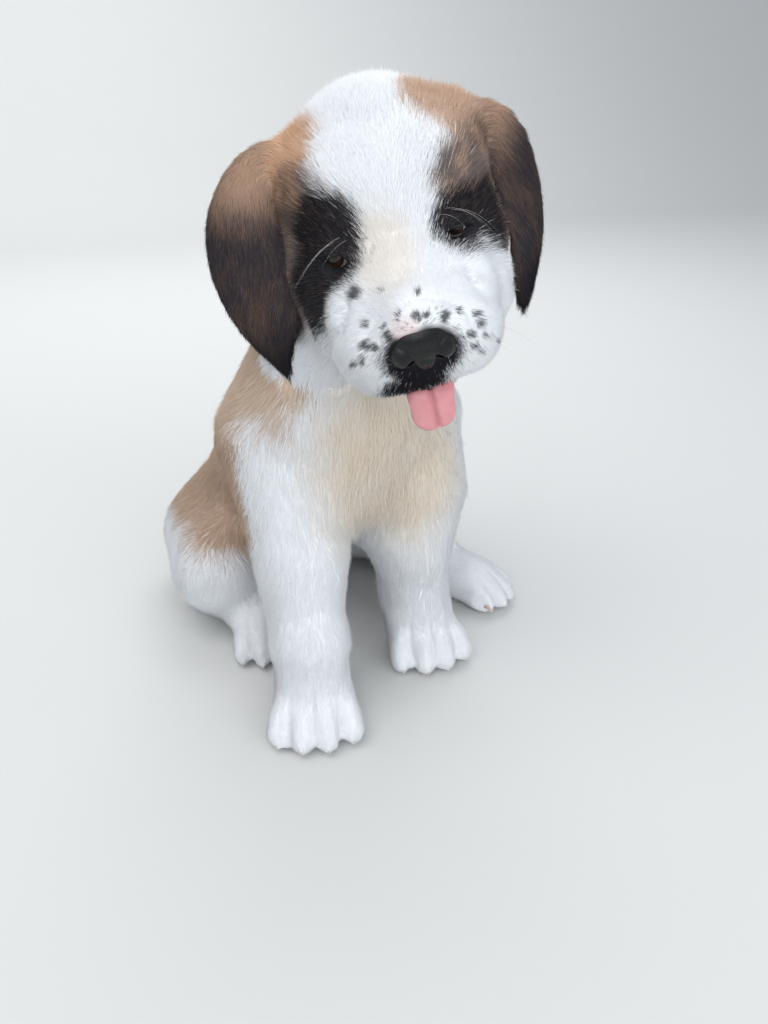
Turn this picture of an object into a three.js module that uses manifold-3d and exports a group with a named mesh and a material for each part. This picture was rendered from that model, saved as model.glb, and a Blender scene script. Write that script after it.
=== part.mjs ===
// A sitting Saint Bernard puppy of about eight weeks, life size, in millimetres.
// It faces -Y with +Z up, and its left side is +X. The origin is on the floor, under the middle of its box.
// The flesh is one smooth form, blended from ellipsoids and tapered limbs out to the tips of the coat,
// then parted by thin flat cuts into head, neck, torso, tail, legs and paws.
// Ears, eyes, nose, lower jaw and tongue are bodies of their own, fitted to the head with a small gap.
import * as THREE from "three";
import { mergeVertices } from "three/addons/utils/BufferGeometryUtils.js";
import Module from "manifold-3d";

const wasm = await Module();
wasm.setup();

// Driving sizes.
const GAP = 0.3; // between touching bodies
const SIDES = { left: 1, right: -1 };
const HEAD = { at: [16.3, -53, 322], yaw: -17.7, pitch: 20, roll: -15.4 };

// The smooth forms are sampled on grids of these steps, then thinned to these numbers of faces.
const HEAD_MESH = { cell: 2.3, faces: 4440, from: [-80, -184, 222], to: [104, 66, 392] };
const BODY_MESH = { cell: 4.2, faces: 5000, from: [-130, -160, -8], to: [180, 228, 356] };
const NOSE_MESH = { cell: 1.2, faces: 640, from: [-24, -132, -44], to: [24, -92, 0] };
const JAW_MESH = { cell: 2.4, faces: 360, from: [-40, -124, -80], to: [40, -30, -20] };
const TONGUE_MESH = { cell: 1.6, faces: 400, from: [-22, -134, -84], to: [22, -60, -34] };

// The trunk, from the chest back to the rump. Turns are in degrees about X, Y and Z.
const TRUNK = {
  chest: { at: [3, -10, 165], radii: [66, 60, 76], blend: 30 },
  ribs: { at: [0, 42, 142], radii: [66, 65, 78], turn: [38, 0, 0], blend: 34 },
  belly: { at: [0, 86, 98], radii: [67, 66, 68], blend: 34 },
  rump: { at: [0, 118, 66], radii: [68, 62, 66], blend: 34 },
};
const NECK = { from: [4, -12, 205], to: [20, -34, 290], radii: [60, 55], blend: 36 };
const TAIL = {
  path: [[0, 158, 40], [8, 186, 24], [34, 204, 17], [68, 203, 14], [96, 188, 10]],
  radii: [24, 20, 16, 12, 7],
  blend: 14,
};

// The front legs: each is a list of joints, with the radius of the furred leg there.
const FORELEG = {
  left: {
    joints: [[49, -18, 175], [51, -34, 130], [44, -40, 90], [46, -42, 50]],
    paw: { at: [48, -56, 0], aim: -8 },
  },
  right: {
    joints: [[-44, -16, 175], [-42, -36, 137], [-45, -56, 100], [-49, -78, 54]],
    paw: { at: [-54, -96, 0], aim: -20 },
  },
};
const FORELEG_RADII = [40, 31, 26, 25];
const FORELEG_BLEND = 22;

// The hind legs, folded under the sitting body: hip, knee and hock.
const HINDLEG = {
  left: { hip: [60, 112, 48], knee: [88, 50, 56], hock: [88, 56, 24], paw: { at: [122, -6, 0], aim: 34 } },
  right: { hip: [-60, 112, 48], knee: [-74, 48, 52], hock: [-64, 62, 24], paw: { at: [-58, 2, 0], aim: -8 } },
};
const THIGH = { radii: [49, 40], blend: 26 };
const SHANK = { radii: [34, 22], blend: 16 };

// A paw seen from above: its length runs from the heel to the toe tips, about its own centre.
const FORE_PAW = { length: 66, width: 65, height: 40 };
const HIND_PAW = { length: 66, width: 54, height: 36 };
const TOES = [-1.5, -0.5, 0.5, 1.5];
const CLAW = { length: 8.6, radius: 2.1, droop: 22, sides: 7 };

// The head in its own frame: it faces -Y, its eyes lie at about z 0, the skull's middle is near the origin.
const HEAD_FORMS = {
  skull: { at: [0, 8, 5], radii: [56, 59, 46], blend: 0 },
  brow: { at: [0, -23, 17], radii: [43, 31, 30], blend: 18 },
  stop: { at: [0, -46, 1], radii: [22, 15, 17], blend: 16 },
  crown: { at: [0, 20, 17], radii: [46, 45, 34], blend: 16 },
  occiput: { at: [0, 46, 4], radii: [34, 24, 38], blend: 18 },
  throat: { at: [0, 4, -34], radii: [42, 50, 34], blend: 22 },
};
const PAIRED_HEAD_FORMS = {
  temple: { at: [29, -22, 20], radii: [26, 24, 21], blend: 16 },
  browRidge: { at: [28, -45, 12], radii: [15, 10, 8], turn: [0, 8, 14], blend: 10 },
  earBase: { at: [47, 16, 17], radii: [15, 25, 19], turn: [0, 20, 0], blend: 16 },
  maxilla: { at: [22, -66, -16], radii: [22, 27, 18], blend: 12 },
  eyeMound: { at: [30, -45, 0], radii: [16, 12, 13], turn: [0, 0, 16], blend: 8 },
  cheek: { at: [37, -24, -20], radii: [25, 34, 28], blend: 16 },
  jowl: { at: [33, -54, -36], radii: [17, 28, 20], blend: 12 },
  flew: { at: [22, -84, -32], radii: [22, 29, 25], turn: [6, 0, 0], blend: 9 },
};
const MUZZLE = {
  bridge: { from: [0, -48, -8], to: [0, -98, -15], radii: [25, 17], blend: 14 },
  front: { at: [0, -97, -30], radii: [29, 18, 23], blend: 7 },
};

// Folds and creases of loose skin, each a chain of small balls along its line, some on both sides.
const FOLDS = {
  noseCrease: {
    path: [[-36, -84, -12], [-24, -89, 4], [0, -91, 8], [24, -89, 4], [36, -84, -12]],
    radii: [1, 3, 4, 3, 1],
    blend: 6,
    cut: true,
  },
};
const PAIRED_FOLDS = {
  cheekFold: {
    path: [[42, -54, -10], [46, -62, -24], [44, -66, -38], [36, -66, -50]],
    radii: [1, 5, 6, 2],
    blend: 12,
  },
};

// The eyes: balls set deep under a dome of lids, behind an almond opening.
const EYE = { at: [29.4, -48.2, 0], radius: 9.2, lid: 1.9 };
const EYE_OPENING = { at: [30.2, -59, 0.2], radii: [7.4, 12, 4], turn: [0, 6, 14] };

const NOSE_FORMS = {
  body: { at: [0, -109, -22], radii: [16.5, 11, 11.5], blend: 0 },
  top: { at: [0, -107, -15], radii: [14, 10, 6], blend: 4 },
};
const PAIRED_NOSE_FORMS = {
  wing: { at: [9.5, -112, -24.5], radii: [7.6, 8, 7.2], blend: 3 },
  nostril: { from: [7, -124, -24], to: [10, -111, -21], radii: [3.3, 2.2], blend: 1.2, cut: true },
  slit: { from: [8.5, -121, -26.5], to: [16, -114, -27.5], radii: [1.7, 1.1], blend: 1, cut: true },
};
const PHILTRUM = { from: [0, -122.5, -25], to: [0, -117, -36], radii: [0.9, 1.5], blend: 2, cut: true };

// The lower jaw, closed against the upper lips but for the tongue, and the line where the lips meet.
const JAW_FORMS = {
  mandible: { at: [0, -70, -48], radii: [23, 40, 14], blend: 0 },
  lip: { at: [0, -96, -52], radii: [17, 13, 9], blend: 8 },
};
const TONGUE = {
  path: [[0, -76, -46], [0, -98, -47], [-1, -111, -51], [-2, -118, -60]],
  halfWidths: [13, 13.5, 13, 12],
  thickness: 8,
};

// The ears hang from the sides of the skull, each a flap between a front and a rear edge, in its frame.
const EARS = {
  left: {
    front: [[34, 6, 34], [53, -2, 20], [62, -10, -4], [64, -24, -30], [62, -36, -53], [63, -41, -66]],
    rear: [[38, 36, 20], [78, 36, 4], [86, 29, -24], [84, 14, -44], [74, -14, -60], [64, -40, -67]],
  },
  right: {
    front: [[-32, 6, 34], [-52, -3, 28], [-61, -14, 12], [-64, -28, -16], [-68, -42, -46], [-78, -49, -66]],
    rear: [[-38, 36, 20], [-76, 36, 20], [-99, 26, 6], [-109, 8, -18], [-102, -20, -42], [-79, -48, -67]],
  },
};
const EAR_FLAP = { rootThickness: 13, tipThickness: 4, bulge: 0.17, stations: 16, across: 9 };

const toRadians = THREE.MathUtils.degToRad;

// The matrix that carries a form's own frame to that of its parent.
function placed({ at = [0, 0, 0], turn = [0, 0, 0] }) {
  const euler = new THREE.Euler(...turn.map(toRadians), "ZXY");
  return new THREE.Matrix4()
    .makeRotationFromEuler(euler)
    .setPosition(...at);
}

// Signed distance to a turned ellipsoid, near enough for blending.
function ellipsoid(form) {
  const e = placed(form).invert().elements;
  const [rx, ry, rz] = form.radii;
  return (x, y, z) => {
    const u = (e[0] * x + e[4] * y + e[8] * z + e[12]) / rx;
    const v = (e[1] * x + e[5] * y + e[9] * z + e[13]) / ry;
    const w = (e[2] * x + e[6] * y + e[10] * z + e[14]) / rz;
    const k = Math.sqrt(u * u + v * v + w * w);
    const slope = Math.sqrt((u * u) / (rx * rx) + (v * v) / (ry * ry) + (w * w) / (rz * rz));
    return slope > 1e-9 ? (k * (k - 1)) / slope : -Math.min(rx, ry, rz);
  };
}

// Signed distance to a limb that tapers from one ball to another.
function limb({ from, to, radii }) {
  const [ax, ay, az] = from;
  const [bx, by, bz] = [to[0] - ax, to[1] - ay, to[2] - az];
  const length2 = bx * bx + by * by + bz * bz;
  const taper = radii[1] - radii[0];
  return (x, y, z) => {
    const px = x - ax;
    const py = y - ay;
    const pz = z - az;
    const t = Math.min(1, Math.max(0, (px * bx + py * by + pz * bz) / length2));
    const qx = px - bx * t;
    const qy = py - by * t;
    const qz = pz - bz * t;
    return Math.sqrt(qx * qx + qy * qy + qz * qz) - radii[0] - taper * t;
  };
}

// Joins two distances with a rounded seam of width k.
function softMin(a, b, k) {
  const h = Math.max(k - Math.abs(a - b), 0) / (k || 1);
  return Math.min(a, b) - (h * h * k) / 4;
}

// One field from many, each with its own blend. A form marked as a cut is carved out of those before it.
function blended(forms) {
  return (x, y, z) => {
    let d = forms[0].field(x, y, z);
    for (let i = 1; i < forms.length; i++) {
      const { field, blend, cut } = forms[i];
      d = cut ? -softMin(-d, field(x, y, z), blend) : softMin(d, field(x, y, z), blend);
    }
    return d;
  };
}

const asForm = (form) => ({ ...form, field: form.from ? limb(form) : ellipsoid(form) });

// A chain of limbs through the joints.
function chain(joints, radii, blend, cut = false) {
  return joints.slice(1).map((to, i) =>
    asForm({ from: joints[i], to, radii: [radii[i], radii[i + 1]], blend, cut }));
}

// A form or a path mirrored to one side of the median plane.
function onSide(form, side) {
  const flip = (p) => p && [p[0] * side, p[1], p[2]];
  const turn = form.turn && [form.turn[0], form.turn[1] * side, form.turn[2] * side];
  const ends = { at: flip(form.at), from: flip(form.from), to: flip(form.to) };
  return { ...form, ...ends, path: form.path?.map(flip), turn };
}

// All the forms of a table, on both sides where they are paired.
function bothSides(single, paired) {
  const pairs = Object.values(paired);
  const mirrored = Object.values(SIDES).flatMap((side) => pairs.map((form) => onSide(form, side)));
  return [...Object.values(single), ...mirrored];
}

// The frame of a paw, with its sole on the floor and its toes to the front.
function pawFrame({ at, aim }) {
  return new THREE.Matrix4().makeRotationZ(toRadians(aim)).setPosition(...at);
}

const through = (frame, p) => new THREE.Vector3(...p).applyMatrix4(frame).toArray();

// Where a toe's knuckle and its tip lie in the paw's frame, and how far the toe fans out.
function toePlaces(toe, { length, width, height }) {
  const reach = -length * (Math.abs(toe) < 1 ? 0.31 : 0.2);
  const spread = toe * width * 0.235;
  return {
    knuckle: [spread * 0.92, reach + length * 0.08, height * 0.36],
    tip: [spread * 1.05, reach - length * 0.075, height * 0.25],
    fan: toe * 7,
  };
}

// The forms of one paw: a flat instep and four toes, each a knuckle and a tip.
function pawForms(paw, size, legBase) {
  const { length, width, height } = size;
  const frame = pawFrame(paw);
  const instep = {
    at: through(frame, [0, length * 0.1, height * 0.44]),
    radii: [width * 0.4, length * 0.36, height * 0.46],
    turn: [0, 0, paw.aim],
    blend: 14,
  };
  const wrist = {
    from: legBase,
    to: through(frame, [0, length * 0.06, height * 0.5]),
    radii: [24, height * 0.46],
    blend: 14,
  };
  const forms = [instep, wrist];
  for (const toe of TOES) {
    const { knuckle, tip, fan } = toePlaces(toe, size);
    const turn = [0, 0, paw.aim + fan];
    const knuckleRadii = [width * 0.135, length * 0.19, height * 0.34];
    const tipRadii = [width * 0.122, length * 0.12, height * 0.25];
    forms.push({ at: through(frame, knuckle), radii: knuckleRadii, turn: [-16, 0, turn[2]], blend: 4 });
    forms.push({ at: through(frame, tip), radii: tipRadii, turn, blend: 4 });
  }
  return forms.map(asForm);
}

function headForms() {
  const forms = bothSides(HEAD_FORMS, PAIRED_HEAD_FORMS).map(asForm);
  forms.push(asForm(MUZZLE.bridge), asForm(MUZZLE.front));
  for (const { path, radii, blend, cut } of bothSides(FOLDS, PAIRED_FOLDS)) {
    forms.push(...chain(path, radii, blend, cut));
  }
  return forms;
}

function bodyForms() {
  const forms = Object.values(TRUNK).map(asForm);
  forms.push(asForm(NECK));
  forms.push(...chain(TAIL.path, TAIL.radii, TAIL.blend));
  for (const side of Object.keys(SIDES)) {
    const fore = FORELEG[side];
    const hind = HINDLEG[side];
    forms.push(...chain(fore.joints, FORELEG_RADII, FORELEG_BLEND));
    forms.push(...pawForms(fore.paw, FORE_PAW, fore.joints.at(-1)));
    forms.push(asForm({ from: hind.hip, to: hind.knee, ...THIGH }));
    forms.push(asForm({ from: hind.knee, to: hind.hock, ...SHANK }));
    forms.push(...pawForms(hind.paw, HIND_PAW, hind.hock));
  }
  return forms;
}

// Head and body together, in the dog's frame.
const NECK_BLEND = 22;
const headMatrix = placed({ at: HEAD.at, turn: [HEAD.pitch, HEAD.roll, HEAD.yaw] });
const toHead = headMatrix.clone().invert().elements;
const inHead = blended(headForms());
const inBody = blended(bodyForms());
function dogField(x, y, z) {
  const u = toHead[0] * x + toHead[4] * y + toHead[8] * z + toHead[12];
  const v = toHead[1] * x + toHead[5] * y + toHead[9] * z + toHead[13];
  const w = toHead[2] * x + toHead[6] * y + toHead[10] * z + toHead[14];
  return softMin(inBody(x, y, z), inHead(u, v, w), NECK_BLEND);
}

// The signed distance out of the space behind some planes.
function beyond(planes) {
  const sides = planes.map(({ at, facing }) => {
    const n = new THREE.Vector3(...facing).normalize();
    const offset = n.dot(new THREE.Vector3(...at));
    return (x, y, z) => n.x * x + n.y * y + n.z * z - offset;
  });
  return (x, y, z) => Math.max(...sides.map((side) => side(x, y, z)));
}

// Fills a corner of each grid square that is inside on one diagonal only, where two sheets would meet.
function joinDiagonals(values, step) {
  const squares = step.map((p, axis) => [p, step[(axis + 1) % 3]]);
  for (let filled = true; filled; ) {
    filled = false;
    for (const [p, q] of squares)
      for (let n = 0; n < values.length - p - q; n++) {
        const inside = values[n] < 0;
        if (inside === values[n + p] < 0 || inside === values[n + q] < 0) continue;
        if (inside !== values[n + p + q] < 0) continue;
        values[inside ? n + p : n] = -0.01;
        filled = true;
      }
  }
}

// Meshes a field inside a box: one vertex in each grid cell that the surface crosses.
function meshOf(field, { cell, from, to }) {
  const [nx, ny, nz] = from.map((low, c) => Math.ceil((to[c] - low) / cell) + 1);
  const at = (i, j, k) => (k * ny + j) * nx + i;
  const values = new Float32Array(nx * ny * nz);
  for (let k = 0; k < nz; k++)
    for (let j = 0; j < ny; j++)
      for (let i = 0; i < nx; i++) {
        const rim = i === 0 || j === 0 || k === 0 || i === nx - 1 || j === ny - 1 || k === nz - 1;
        const d = field(from[0] + i * cell, from[1] + j * cell, from[2] + k * cell);
        values[at(i, j, k)] = rim ? Math.max(d, 0.01) : d;
      }
  const step = [1, nx, nx * ny];
  joinDiagonals(values, step);
  const position = [];
  const index = [];
  const vertexOf = new Map();
  for (let k = 0; k < nz - 1; k++)
    for (let j = 0; j < ny - 1; j++)
      for (let i = 0; i < nx - 1; i++) {
        const sum = [0, 0, 0];
        let crossings = 0;
        for (let axis = 0; axis < 3; axis++)
          for (let corner = 0; corner < 4; corner++) {
            const a = [0, 0, 0];
            a[(axis + 1) % 3] = corner & 1;
            a[(axis + 2) % 3] = corner >> 1;
            const b = [...a];
            b[axis] = 1;
            const va = values[at(i + a[0], j + a[1], k + a[2])];
            const vb = values[at(i + b[0], j + b[1], k + b[2])];
            if (va < 0 === vb < 0) continue;
            const t = va / (va - vb);
            for (let c = 0; c < 3; c++) sum[c] += a[c] + (b[c] - a[c]) * t;
            crossings++;
          }
        if (!crossings) continue;
        vertexOf.set(at(i, j, k), position.length / 3);
        [i, j, k].forEach((n, c) => position.push(from[c] + (n + sum[c] / crossings) * cell));
      }
  for (const cellAt of vertexOf.keys())
    for (let axis = 0; axis < 3; axis++) {
      const inside = values[cellAt] < 0;
      if (inside === values[cellAt + step[axis]] < 0) continue;
      const p = step[(axis + 1) % 3];
      const q = step[(axis + 2) % 3];
      const ring = [cellAt, cellAt - p, cellAt - p - q, cellAt - q].map((c) => vertexOf.get(c));
      if (ring.includes(undefined)) continue;
      const [a, b, c, d] = inside ? ring : ring.toReversed();
      index.push(a, b, c, a, c, d);
    }
  return { position, index };
}

// Collapses edges, cheapest first by the squared distance to the planes they stood for, down to a face count.
function thinned({ position, index }, target, weight = () => 1) {
  const count = position.length / 3;
  const at = Array.from({ length: count }, (_, i) => new THREE.Vector3().fromArray(position, 3 * i));
  const faces = [];
  for (let i = 0; i < index.length; i += 3) faces.push([index[i], index[i + 1], index[i + 2]]);
  const facesOf = at.map(() => new Set());
  faces.forEach((f, i) => f.forEach((v) => facesOf[v].add(i)));
  const quadric = at.map(() => new Float64Array(10));
  const [e1, e2, normal] = [new THREE.Vector3(), new THREE.Vector3(), new THREE.Vector3()];
  const cross = (a, b, c) => normal.crossVectors(e1.subVectors(b, a), e2.subVectors(c, a));
  for (const f of faces) {
    const [a, b, c] = f.map((v) => at[v]);
    const area = cross(a, b, c).length() / 2;
    const n = normal.clone().normalize();
    const d = -n.dot(a);
    const w = area * weight(a);
    const [x, y, z] = n.toArray();
    const q = [x * x, x * y, x * z, x * d, y * y, y * z, y * d, z * z, z * d, d * d];
    for (const v of f) q.forEach((value, i) => (quadric[v][i] += value * w));
  }
  const costAt = (q, p) =>
    q[0] * p.x * p.x + q[4] * p.y * p.y + q[7] * p.z * p.z + q[9] +
    2 * (q[1] * p.x * p.y + q[2] * p.x * p.z + q[3] * p.x + q[5] * p.y * p.z + q[6] * p.y + q[8] * p.z);
  const matrix = new THREE.Matrix3();
  function bestPoint(a, b) {
    const q = quadric[a].map((value, i) => value + quadric[b][i]);
    const middle = at[a].clone().add(at[b]).multiplyScalar(0.5);
    const span = at[a].distanceTo(at[b]);
    matrix.set(q[0], q[1], q[2], q[1], q[4], q[5], q[2], q[5], q[7]);
    const choices = [middle, at[a], at[b]];
    if (Math.abs(matrix.determinant()) > 1e-4 * (q[0] + q[4] + q[7]) ** 3) {
      const solved = new THREE.Vector3(-q[3], -q[6], -q[8]).applyMatrix3(matrix.invert());
      if (solved.distanceTo(middle) < span) choices.unshift(solved);
    }
    let best = choices[0];
    let cost = Infinity;
    for (const p of choices) {
      const c = costAt(q, p);
      if (c < cost) [best, cost] = [p, c];
    }
    return { point: best.clone(), cost: cost + 1e-3 * span * span, q };
  }
  const heap = [];
  const less = (i, j) => heap[i].cost < heap[j].cost;
  const swap = (i, j) => ([heap[i], heap[j]] = [heap[j], heap[i]]);
  function push(item) {
    heap.push(item);
    for (let i = heap.length - 1; i > 0 && less(i, (i - 1) >> 1); i = (i - 1) >> 1) swap(i, (i - 1) >> 1);
  }
  function pop() {
    swap(0, heap.length - 1);
    const top = heap.pop();
    for (let i = 0; ; ) {
      let least = i;
      for (const child of [2 * i + 1, 2 * i + 2]) {
        if (child < heap.length && less(child, least)) least = child;
      }
      if (least === i) return top;
      swap(i, least);
      i = least;
    }
  }
  const stamp = new Uint32Array(count);
  const neighbours = (v) => new Set([...facesOf[v]].flatMap((f) => faces[f]).filter((u) => u !== v));
  const queue = (a, b) => push({ a, b, stampA: stamp[a], stampB: stamp[b], ...bestPoint(a, b) });
  for (let v = 0; v < count; v++) for (const u of neighbours(v)) if (u > v) queue(v, u);
  // A face may turn a little as its corner moves, but not over, nor become a sliver.
  function keepsShape(v, other, point) {
    for (const i of facesOf[v]) {
      const f = faces[i];
      if (f.includes(other)) continue;
      const before = cross(...f.map((u) => at[u])).clone();
      const moved = f.map((u) => (u === v ? point : at[u]));
      const after = cross(...moved);
      if (before.dot(after) < 0.35 * before.length() * after.length()) return false;
      const [p, q, r] = moved;
      const longest = Math.max(p.distanceTo(q), q.distanceTo(r), r.distanceTo(p));
      if (after.length() < 0.12 * longest * longest) return false;
    }
    return true;
  }
  let left = faces.length;
  while (left > target && heap.length) {
    const { a, b, stampA, stampB, point, q } = pop();
    if (stamp[a] !== stampA || stamp[b] !== stampB || !facesOf[a].size || !facesOf[b].size) continue;
    const around = neighbours(b);
    const shared = [...neighbours(a)].filter((v) => around.has(v));
    if (shared.length !== 2 || !keepsShape(a, b, point) || !keepsShape(b, a, point)) continue;
    at[a].copy(point);
    quadric[a] = q;
    for (const i of [...facesOf[b]]) {
      facesOf[b].delete(i);
      if (faces[i].includes(a)) {
        faces[i].forEach((v) => facesOf[v].delete(i));
        left--;
      } else {
        faces[i] = faces[i].map((v) => (v === b ? a : v));
        facesOf[a].add(i);
      }
    }
    stamp[a]++;
    stamp[b]++;
    for (const u of neighbours(a)) queue(a, u);
  }
  const renumber = new Map();
  const kept = { position: [], index: [] };
  faces.forEach((f, i) => {
    if (!facesOf[f[0]].has(i)) return;
    for (const v of f) {
      if (!renumber.has(v)) {
        renumber.set(v, renumber.size);
        kept.position.push(...at[v].toArray());
      }
      kept.index.push(renumber.get(v));
    }
  });
  return kept;
}

const solidOf = ({ position, index }) =>
  new wasm.Manifold(new wasm.Mesh({
    numProp: 3,
    vertProperties: new Float32Array(position),
    triVerts: new Uint32Array(index),
  }));

// A closed three.js geometry, moved by a matrix, as a solid.
function solidFrom(geometry, matrix) {
  const bare = geometry.clone().applyMatrix4(matrix);
  bare.deleteAttribute("normal");
  bare.deleteAttribute("uv");
  const merged = mergeVertices(bare, 1e-3);
  return solidOf({ position: merged.attributes.position.array, index: merged.index.array });
}

// A field as a solid, moved by a matrix.
function sculpted(field, sizes, matrix = new THREE.Matrix4(), weight = undefined) {
  const mesh = thinned(meshOf(field, sizes), sizes.faces, weight);
  const v = new THREE.Vector3();
  for (let i = 0; i < mesh.position.length; i += 3) {
    v.fromArray(mesh.position, i).applyMatrix4(matrix).toArray(mesh.position, i);
  }
  return largest(solidOf(mesh));
}

// The largest body of a solid, without loose scraps.
function largest(solid) {
  return solid.decompose().reduce((a, b) => (b.volume() > a.volume() ? b : a));
}

// A solid with its whole surface moved outwards, to keep a neighbour clear of it.
function grown(solid, margin = 1.5 * GAP) {
  const { vertProperties, triVerts } = solid.getMesh();
  const geometry = new THREE.BufferGeometry();
  geometry.setAttribute("position", new THREE.BufferAttribute(vertProperties.slice(), 3));
  geometry.setIndex(new THREE.BufferAttribute(triVerts, 1));
  geometry.computeVertexNormals();
  const { position, normal } = geometry.attributes;
  const moved = position.array.map((value, i) => value + normal.array[i] * margin);
  return solidOf({ position: moved, index: triVerts });
}

// The space behind every one of some planes, each moved back by a margin where the region has to be smaller.
const VAST = 900;
function region(planes, margin = 0) {
  const slabs = planes.map(({ at, facing }) => {
    const n = new THREE.Vector3(...facing).normalize();
    const turn = new THREE.Quaternion().setFromUnitVectors(new THREE.Vector3(0, 0, 1), n);
    const middle = new THREE.Vector3(...at).addScaledVector(n, margin - VAST / 2);
    const matrix = new THREE.Matrix4().compose(middle, turn, new THREE.Vector3(1, 1, 1));
    return solidFrom(new THREE.BoxGeometry(VAST, VAST, VAST), matrix);
  });
  return slabs.reduce((a, b) => a.intersect(b));
}

// Parts a solid in two along a region's faces: what lies in the region, and the rest, a gap away.
function parted(solid, planes) {
  return [largest(solid.intersect(region(planes))), largest(solid.subtract(region(planes, GAP)))];
}

// A hanging ear flap: a lens-shaped section carried from root to tip between two edges, bulged outwards.
function earFlap({ front, rear }, side) {
  const { rootThickness, tipThickness, bulge, stations, across } = EAR_FLAP;
  const [frontEdge, rearEdge] = [front, rear].map((points) =>
    new THREE.CatmullRomCurve3(points.map((p) => new THREE.Vector3(...p)), false, "centripetal"));
  const position = [];
  const index = [];
  const ring = 2 * across;
  for (let s = 0; s <= stations; s++) {
    const u = s / stations;
    const a = frontEdge.getPoint(u);
    const b = rearEdge.getPoint(u);
    const width = b.clone().sub(a);
    const along = frontEdge.getTangent(u).add(rearEdge.getTangent(u));
    const out = along.cross(width).normalize().multiplyScalar(side);
    const thickness = rootThickness + (tipThickness - rootThickness) * Math.sqrt(u);
    for (let r = 0; r < ring; r++) {
      const outer = r < across;
      const v = outer ? (r + 0.5) / across : (ring - r - 0.5) / across;
      const rise = bulge * width.length() * (1 - (2 * v - 1) ** 2);
      const half = (thickness / 2) * Math.sqrt(1 - Math.abs(2 * v - 1) ** 3);
      const p = a.clone().addScaledVector(width, v).addScaledVector(out, rise + (outer ? half : -half));
      position.push(...p.toArray());
    }
  }
  for (let s = 0; s < stations; s++)
    for (let r = 0; r < ring; r++) {
      const [p, q] = [s * ring + r, s * ring + ((r + 1) % ring)];
      index.push(p, q, q + ring, p, q + ring, p + ring);
    }
  for (let r = 0; r < across - 1; r++) {
    for (const [base, flip] of [[0, false], [stations * ring, true]]) {
      const [a, b, c, d] = [r, r + 1, ring - 2 - r, ring - 1 - r].map((n) => base + n);
      index.push(...(flip ? [a, b, c, a, c, d] : [c, b, a, d, c, a]));
    }
  }
  const solid = solidOf({ position, index });
  return solid.volume() > 0 ? solid : solidOf({ position, index: index.toReversed() });
}

// The claws of one paw, each a slim cone with its root sunk in the toe.
function claws(paw, size) {
  const frame = pawFrame(paw);
  return TOES.map((toe) => {
    const { tip, fan } = toePlaces(toe, size);
    const cone = new THREE.ConeGeometry(CLAW.radius, CLAW.length, CLAW.sides);
    const lying = new THREE.Matrix4().makeRotationX(toRadians(90 + CLAW.droop));
    const fanned = new THREE.Matrix4().makeRotationZ(toRadians(fan));
    const place = new THREE.Matrix4().makeTranslation(tip[0], tip[1] - size.length * 0.12, tip[2] * 0.85);
    return solidFrom(cone, frame.clone().multiply(place).multiply(fanned).multiply(lying));
  });
}

// What carries a point or a plane of the head's own frame to the dog's.
const headPoint = (p) => through(headMatrix, p);
const headDirection = (n) => new THREE.Vector3(...n).transformDirection(headMatrix).toArray();

// The cuts, each a set of planes that face away from what they cut off.
const HEAD_CUT = [
  { at: headPoint([0, 44, -22]), facing: headDirection([0, 0.5, -0.86]) },
  { at: headPoint([0, -20, -62]), facing: headDirection([0, 0.2, -0.98]) },
];
const NECK_CUT = [{ at: [0, 0, 224], facing: [0, 0.42, -0.9] }];
const TAIL_CUT = [
  { at: [4, 168, 36], facing: [-0.2, -0.94, 0.28] },
];
const HINDLEG_CUT = {
  left: [
    { at: [42, 80, 50], facing: [-0.93, 0, 0.37] },
    { at: [80, 90, 116], facing: [-0.3, 0, 0.95] },
    { at: [88, -12, 40], facing: [-0.62, -0.78, 0] },
    { at: [60, 172, 40], facing: [0, 1, 0] },
  ],
  right: [
    { at: [-42, 80, 50], facing: [0.93, 0, 0.37] },
    { at: [-80, 90, 116], facing: [0.3, 0, 0.95] },
    { at: [-60, -40, 0], facing: [0, -0.96, 0.28] },
    { at: [-60, 172, 40], facing: [0, 1, 0] },
  ],
};
const FORELEG_CUT = {
  left: [
    { at: [4, -40, 60], facing: [-1, 0, 0] },
    { at: [24, -40, 122], facing: [-0.8, 0, 0.6] },
    { at: [50, 14, 120], facing: [0, 1, 0] },
  ],
  right: [
    { at: [-4, -40, 60], facing: [1, 0, 0] },
    { at: [-20, -40, 122], facing: [0.8, 0, 0.6] },
    { at: [-50, 10, 120], facing: [0, 1, 0] },
  ],
};

// The planes that cut a paw from its leg: above the instep and behind the heel, in the paw's frame.
function pawCut(paw, above, behind) {
  const frame = pawFrame(paw);
  const upward = new THREE.Vector3(0, 0.25, 1).transformDirection(frame).toArray();
  const backward = new THREE.Vector3(0, 1, 0.1).transformDirection(frame).toArray();
  return [
    { at: through(frame, [0, 0, above]), facing: upward },
    { at: through(frame, [0, behind, 0]), facing: backward },
  ];
}
const FORE_PAW_CUT = { above: 44, behind: 60 };
const HIND_PAW_CUT = { above: 48, behind: 30 };

const WHITE_COAT = { color: 0xe8e6e2, roughness: 0.85, metalness: 0 };
const TAN_COAT = { color: 0xb08a6c, roughness: 0.85, metalness: 0 };
const DARK_COAT = { color: 0x4a4242, roughness: 0.85, metalness: 0 };
const NOSE_SKIN = { color: 0x26262b, roughness: 0.4, metalness: 0 };
const TONGUE_SKIN = { color: 0xd8a0a6, roughness: 0.4, metalness: 0 };
const EYE_SURFACE = { color: 0x2a1a12, roughness: 0.1, metalness: 0 };

const dog = new THREE.Group();

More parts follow.
